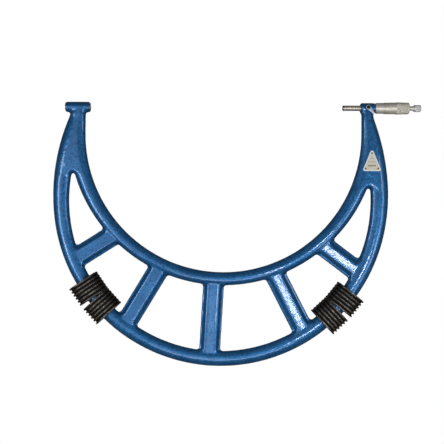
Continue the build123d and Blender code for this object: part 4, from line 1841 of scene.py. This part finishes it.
@dataclass
class Studio:
    """White table, soft boxes and the camera straight above."""

    middle: tuple[float, float] = (216.7 * MM, -171.5 * MM)
    camera_height: float = 0.95
    camera_turn: float = 0.27
    view_width: float = 0.666
    sensor: float = 36.0
    floor_size: float = 12.0
    seen_floor: float = 1.0
    reflected_floor: float = 0.12
    surroundings: float = 0.10
    boxes: tuple[SoftBox, ...] = (
        SoftBox("left_box", 180, 0.85, 1.10, 0.60, 0.20, 3.4),
        SoftBox("lower_left_box", 205, 0.85, 1.10, 0.50, 0.20, 1.3),
        SoftBox("bottom_box", 270, 0.56, 1.10, 0.60, 0.20, 1.7),
        SoftBox("lower_right_box", 335, 0.90, 1.10, 0.50, 0.20, 1.5),
        SoftBox("right_box", 0, 0.95, 1.10, 0.60, 0.20, 2.0),
        SoftBox("haze_box", 190, 0.42, 1.25, 0.95, 0.70, 1.6),
        SoftBox("spoke_three_box", -98.0, 0.339, 1.25, 0.10, 0.26, 0.15),
        SoftBox("spoke_four_box", -49.7, 0.361, 1.25, 0.05, 0.24, 1.6),
        SoftBox("spoke_five_box", -16.9, 0.427, 1.25, 0.05, 0.20, 1.5),
    )

    def table_material(self) -> bpy.types.Material:
        """Builds a table top that looks white and throws little light back on the instrument.

        Returns:
            The material.
        """
        material = bpy.data.materials.new("table")
        material.use_nodes = True
        nodes, links = material.node_tree.nodes, material.node_tree.links
        nodes.clear()
        kinds = ("OutputMaterial", "LightPath", "MixShader", "BsdfDiffuse", "Emission")
        output, ray, mixed, dull, white = (nodes.new("ShaderNode" + kind) for kind in kinds)
        for node, level in ((dull, self.reflected_floor), (white, self.seen_floor)):
            node.inputs["Color"].default_value = (level, level, level, 1)
        links.new(ray.outputs["Is Camera Ray"], mixed.inputs[0])
        links.new(dull.outputs[0], mixed.inputs[1])
        links.new(white.outputs[0], mixed.inputs[2])
        links.new(mixed.outputs[0], output.inputs["Surface"])
        return material

    def floor(self) -> None:
        """Lays the table under the instrument."""
        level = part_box("grip_left_upper_back")[0].z
        half = self.floor_size / 2
        corners = [(-half, -half), (half, -half), (half, half), (-half, half)]
        mesh = bpy.data.meshes.new("table")
        mesh.from_pydata([(x, y, level) for x, y in corners], [], [(0, 1, 2, 3)])
        mesh.materials.append(self.table_material())
        link("table", mesh)

    def world(self) -> None:
        """Lights the scene dimly from all around."""
        world = bpy.data.worlds.new("studio")
        world.use_nodes = True
        grey = self.surroundings
        world.node_tree.nodes["Background"].inputs["Color"].default_value = (grey, grey, grey, 1)
        bpy.context.scene.world = world

    def camera(self) -> None:
        """Sets the camera straight above, a little turned."""
        data = bpy.data.cameras.new("camera")
        data.sensor_width = self.sensor
        data.lens = self.sensor * self.camera_height / self.view_width
        eye = link("camera", data)
        eye.location = (*self.middle, self.camera_height)
        eye.rotation_euler = (0, 0, math.radians(self.camera_turn))
        bpy.context.scene.camera = eye

    def build(self) -> None:
        """Sets the table, the lights and the camera."""
        self.camera()
        self.world()
        self.floor()
        for box in self.boxes:
            box.hang(self.middle)
        settings = bpy.context.scene.view_settings
        settings.view_transform = "Standard"
        settings.look = "None"


def main() -> None:
    """Builds the studio and every piece."""
    logging.basicConfig(level=logging.INFO, format="%(message)s")
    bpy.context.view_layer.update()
    Studio().build()
    finishes = Finishes()
    CastFrame(finishes).build()
    AnvilBush(finishes).build()
    for side in ("left", "right"):
        for level in ("upper", "lower"):
            GripBlock(finishes, f"grip_{side}_{level}").build()
    for kind in (Nameplate, Sleeve, Thimble, Spindle, RatchetKnob, SpindleLock):
        kind(finishes).build()
    dress_packed_nodes(finishes)


if __name__ == "__main__":
    main()
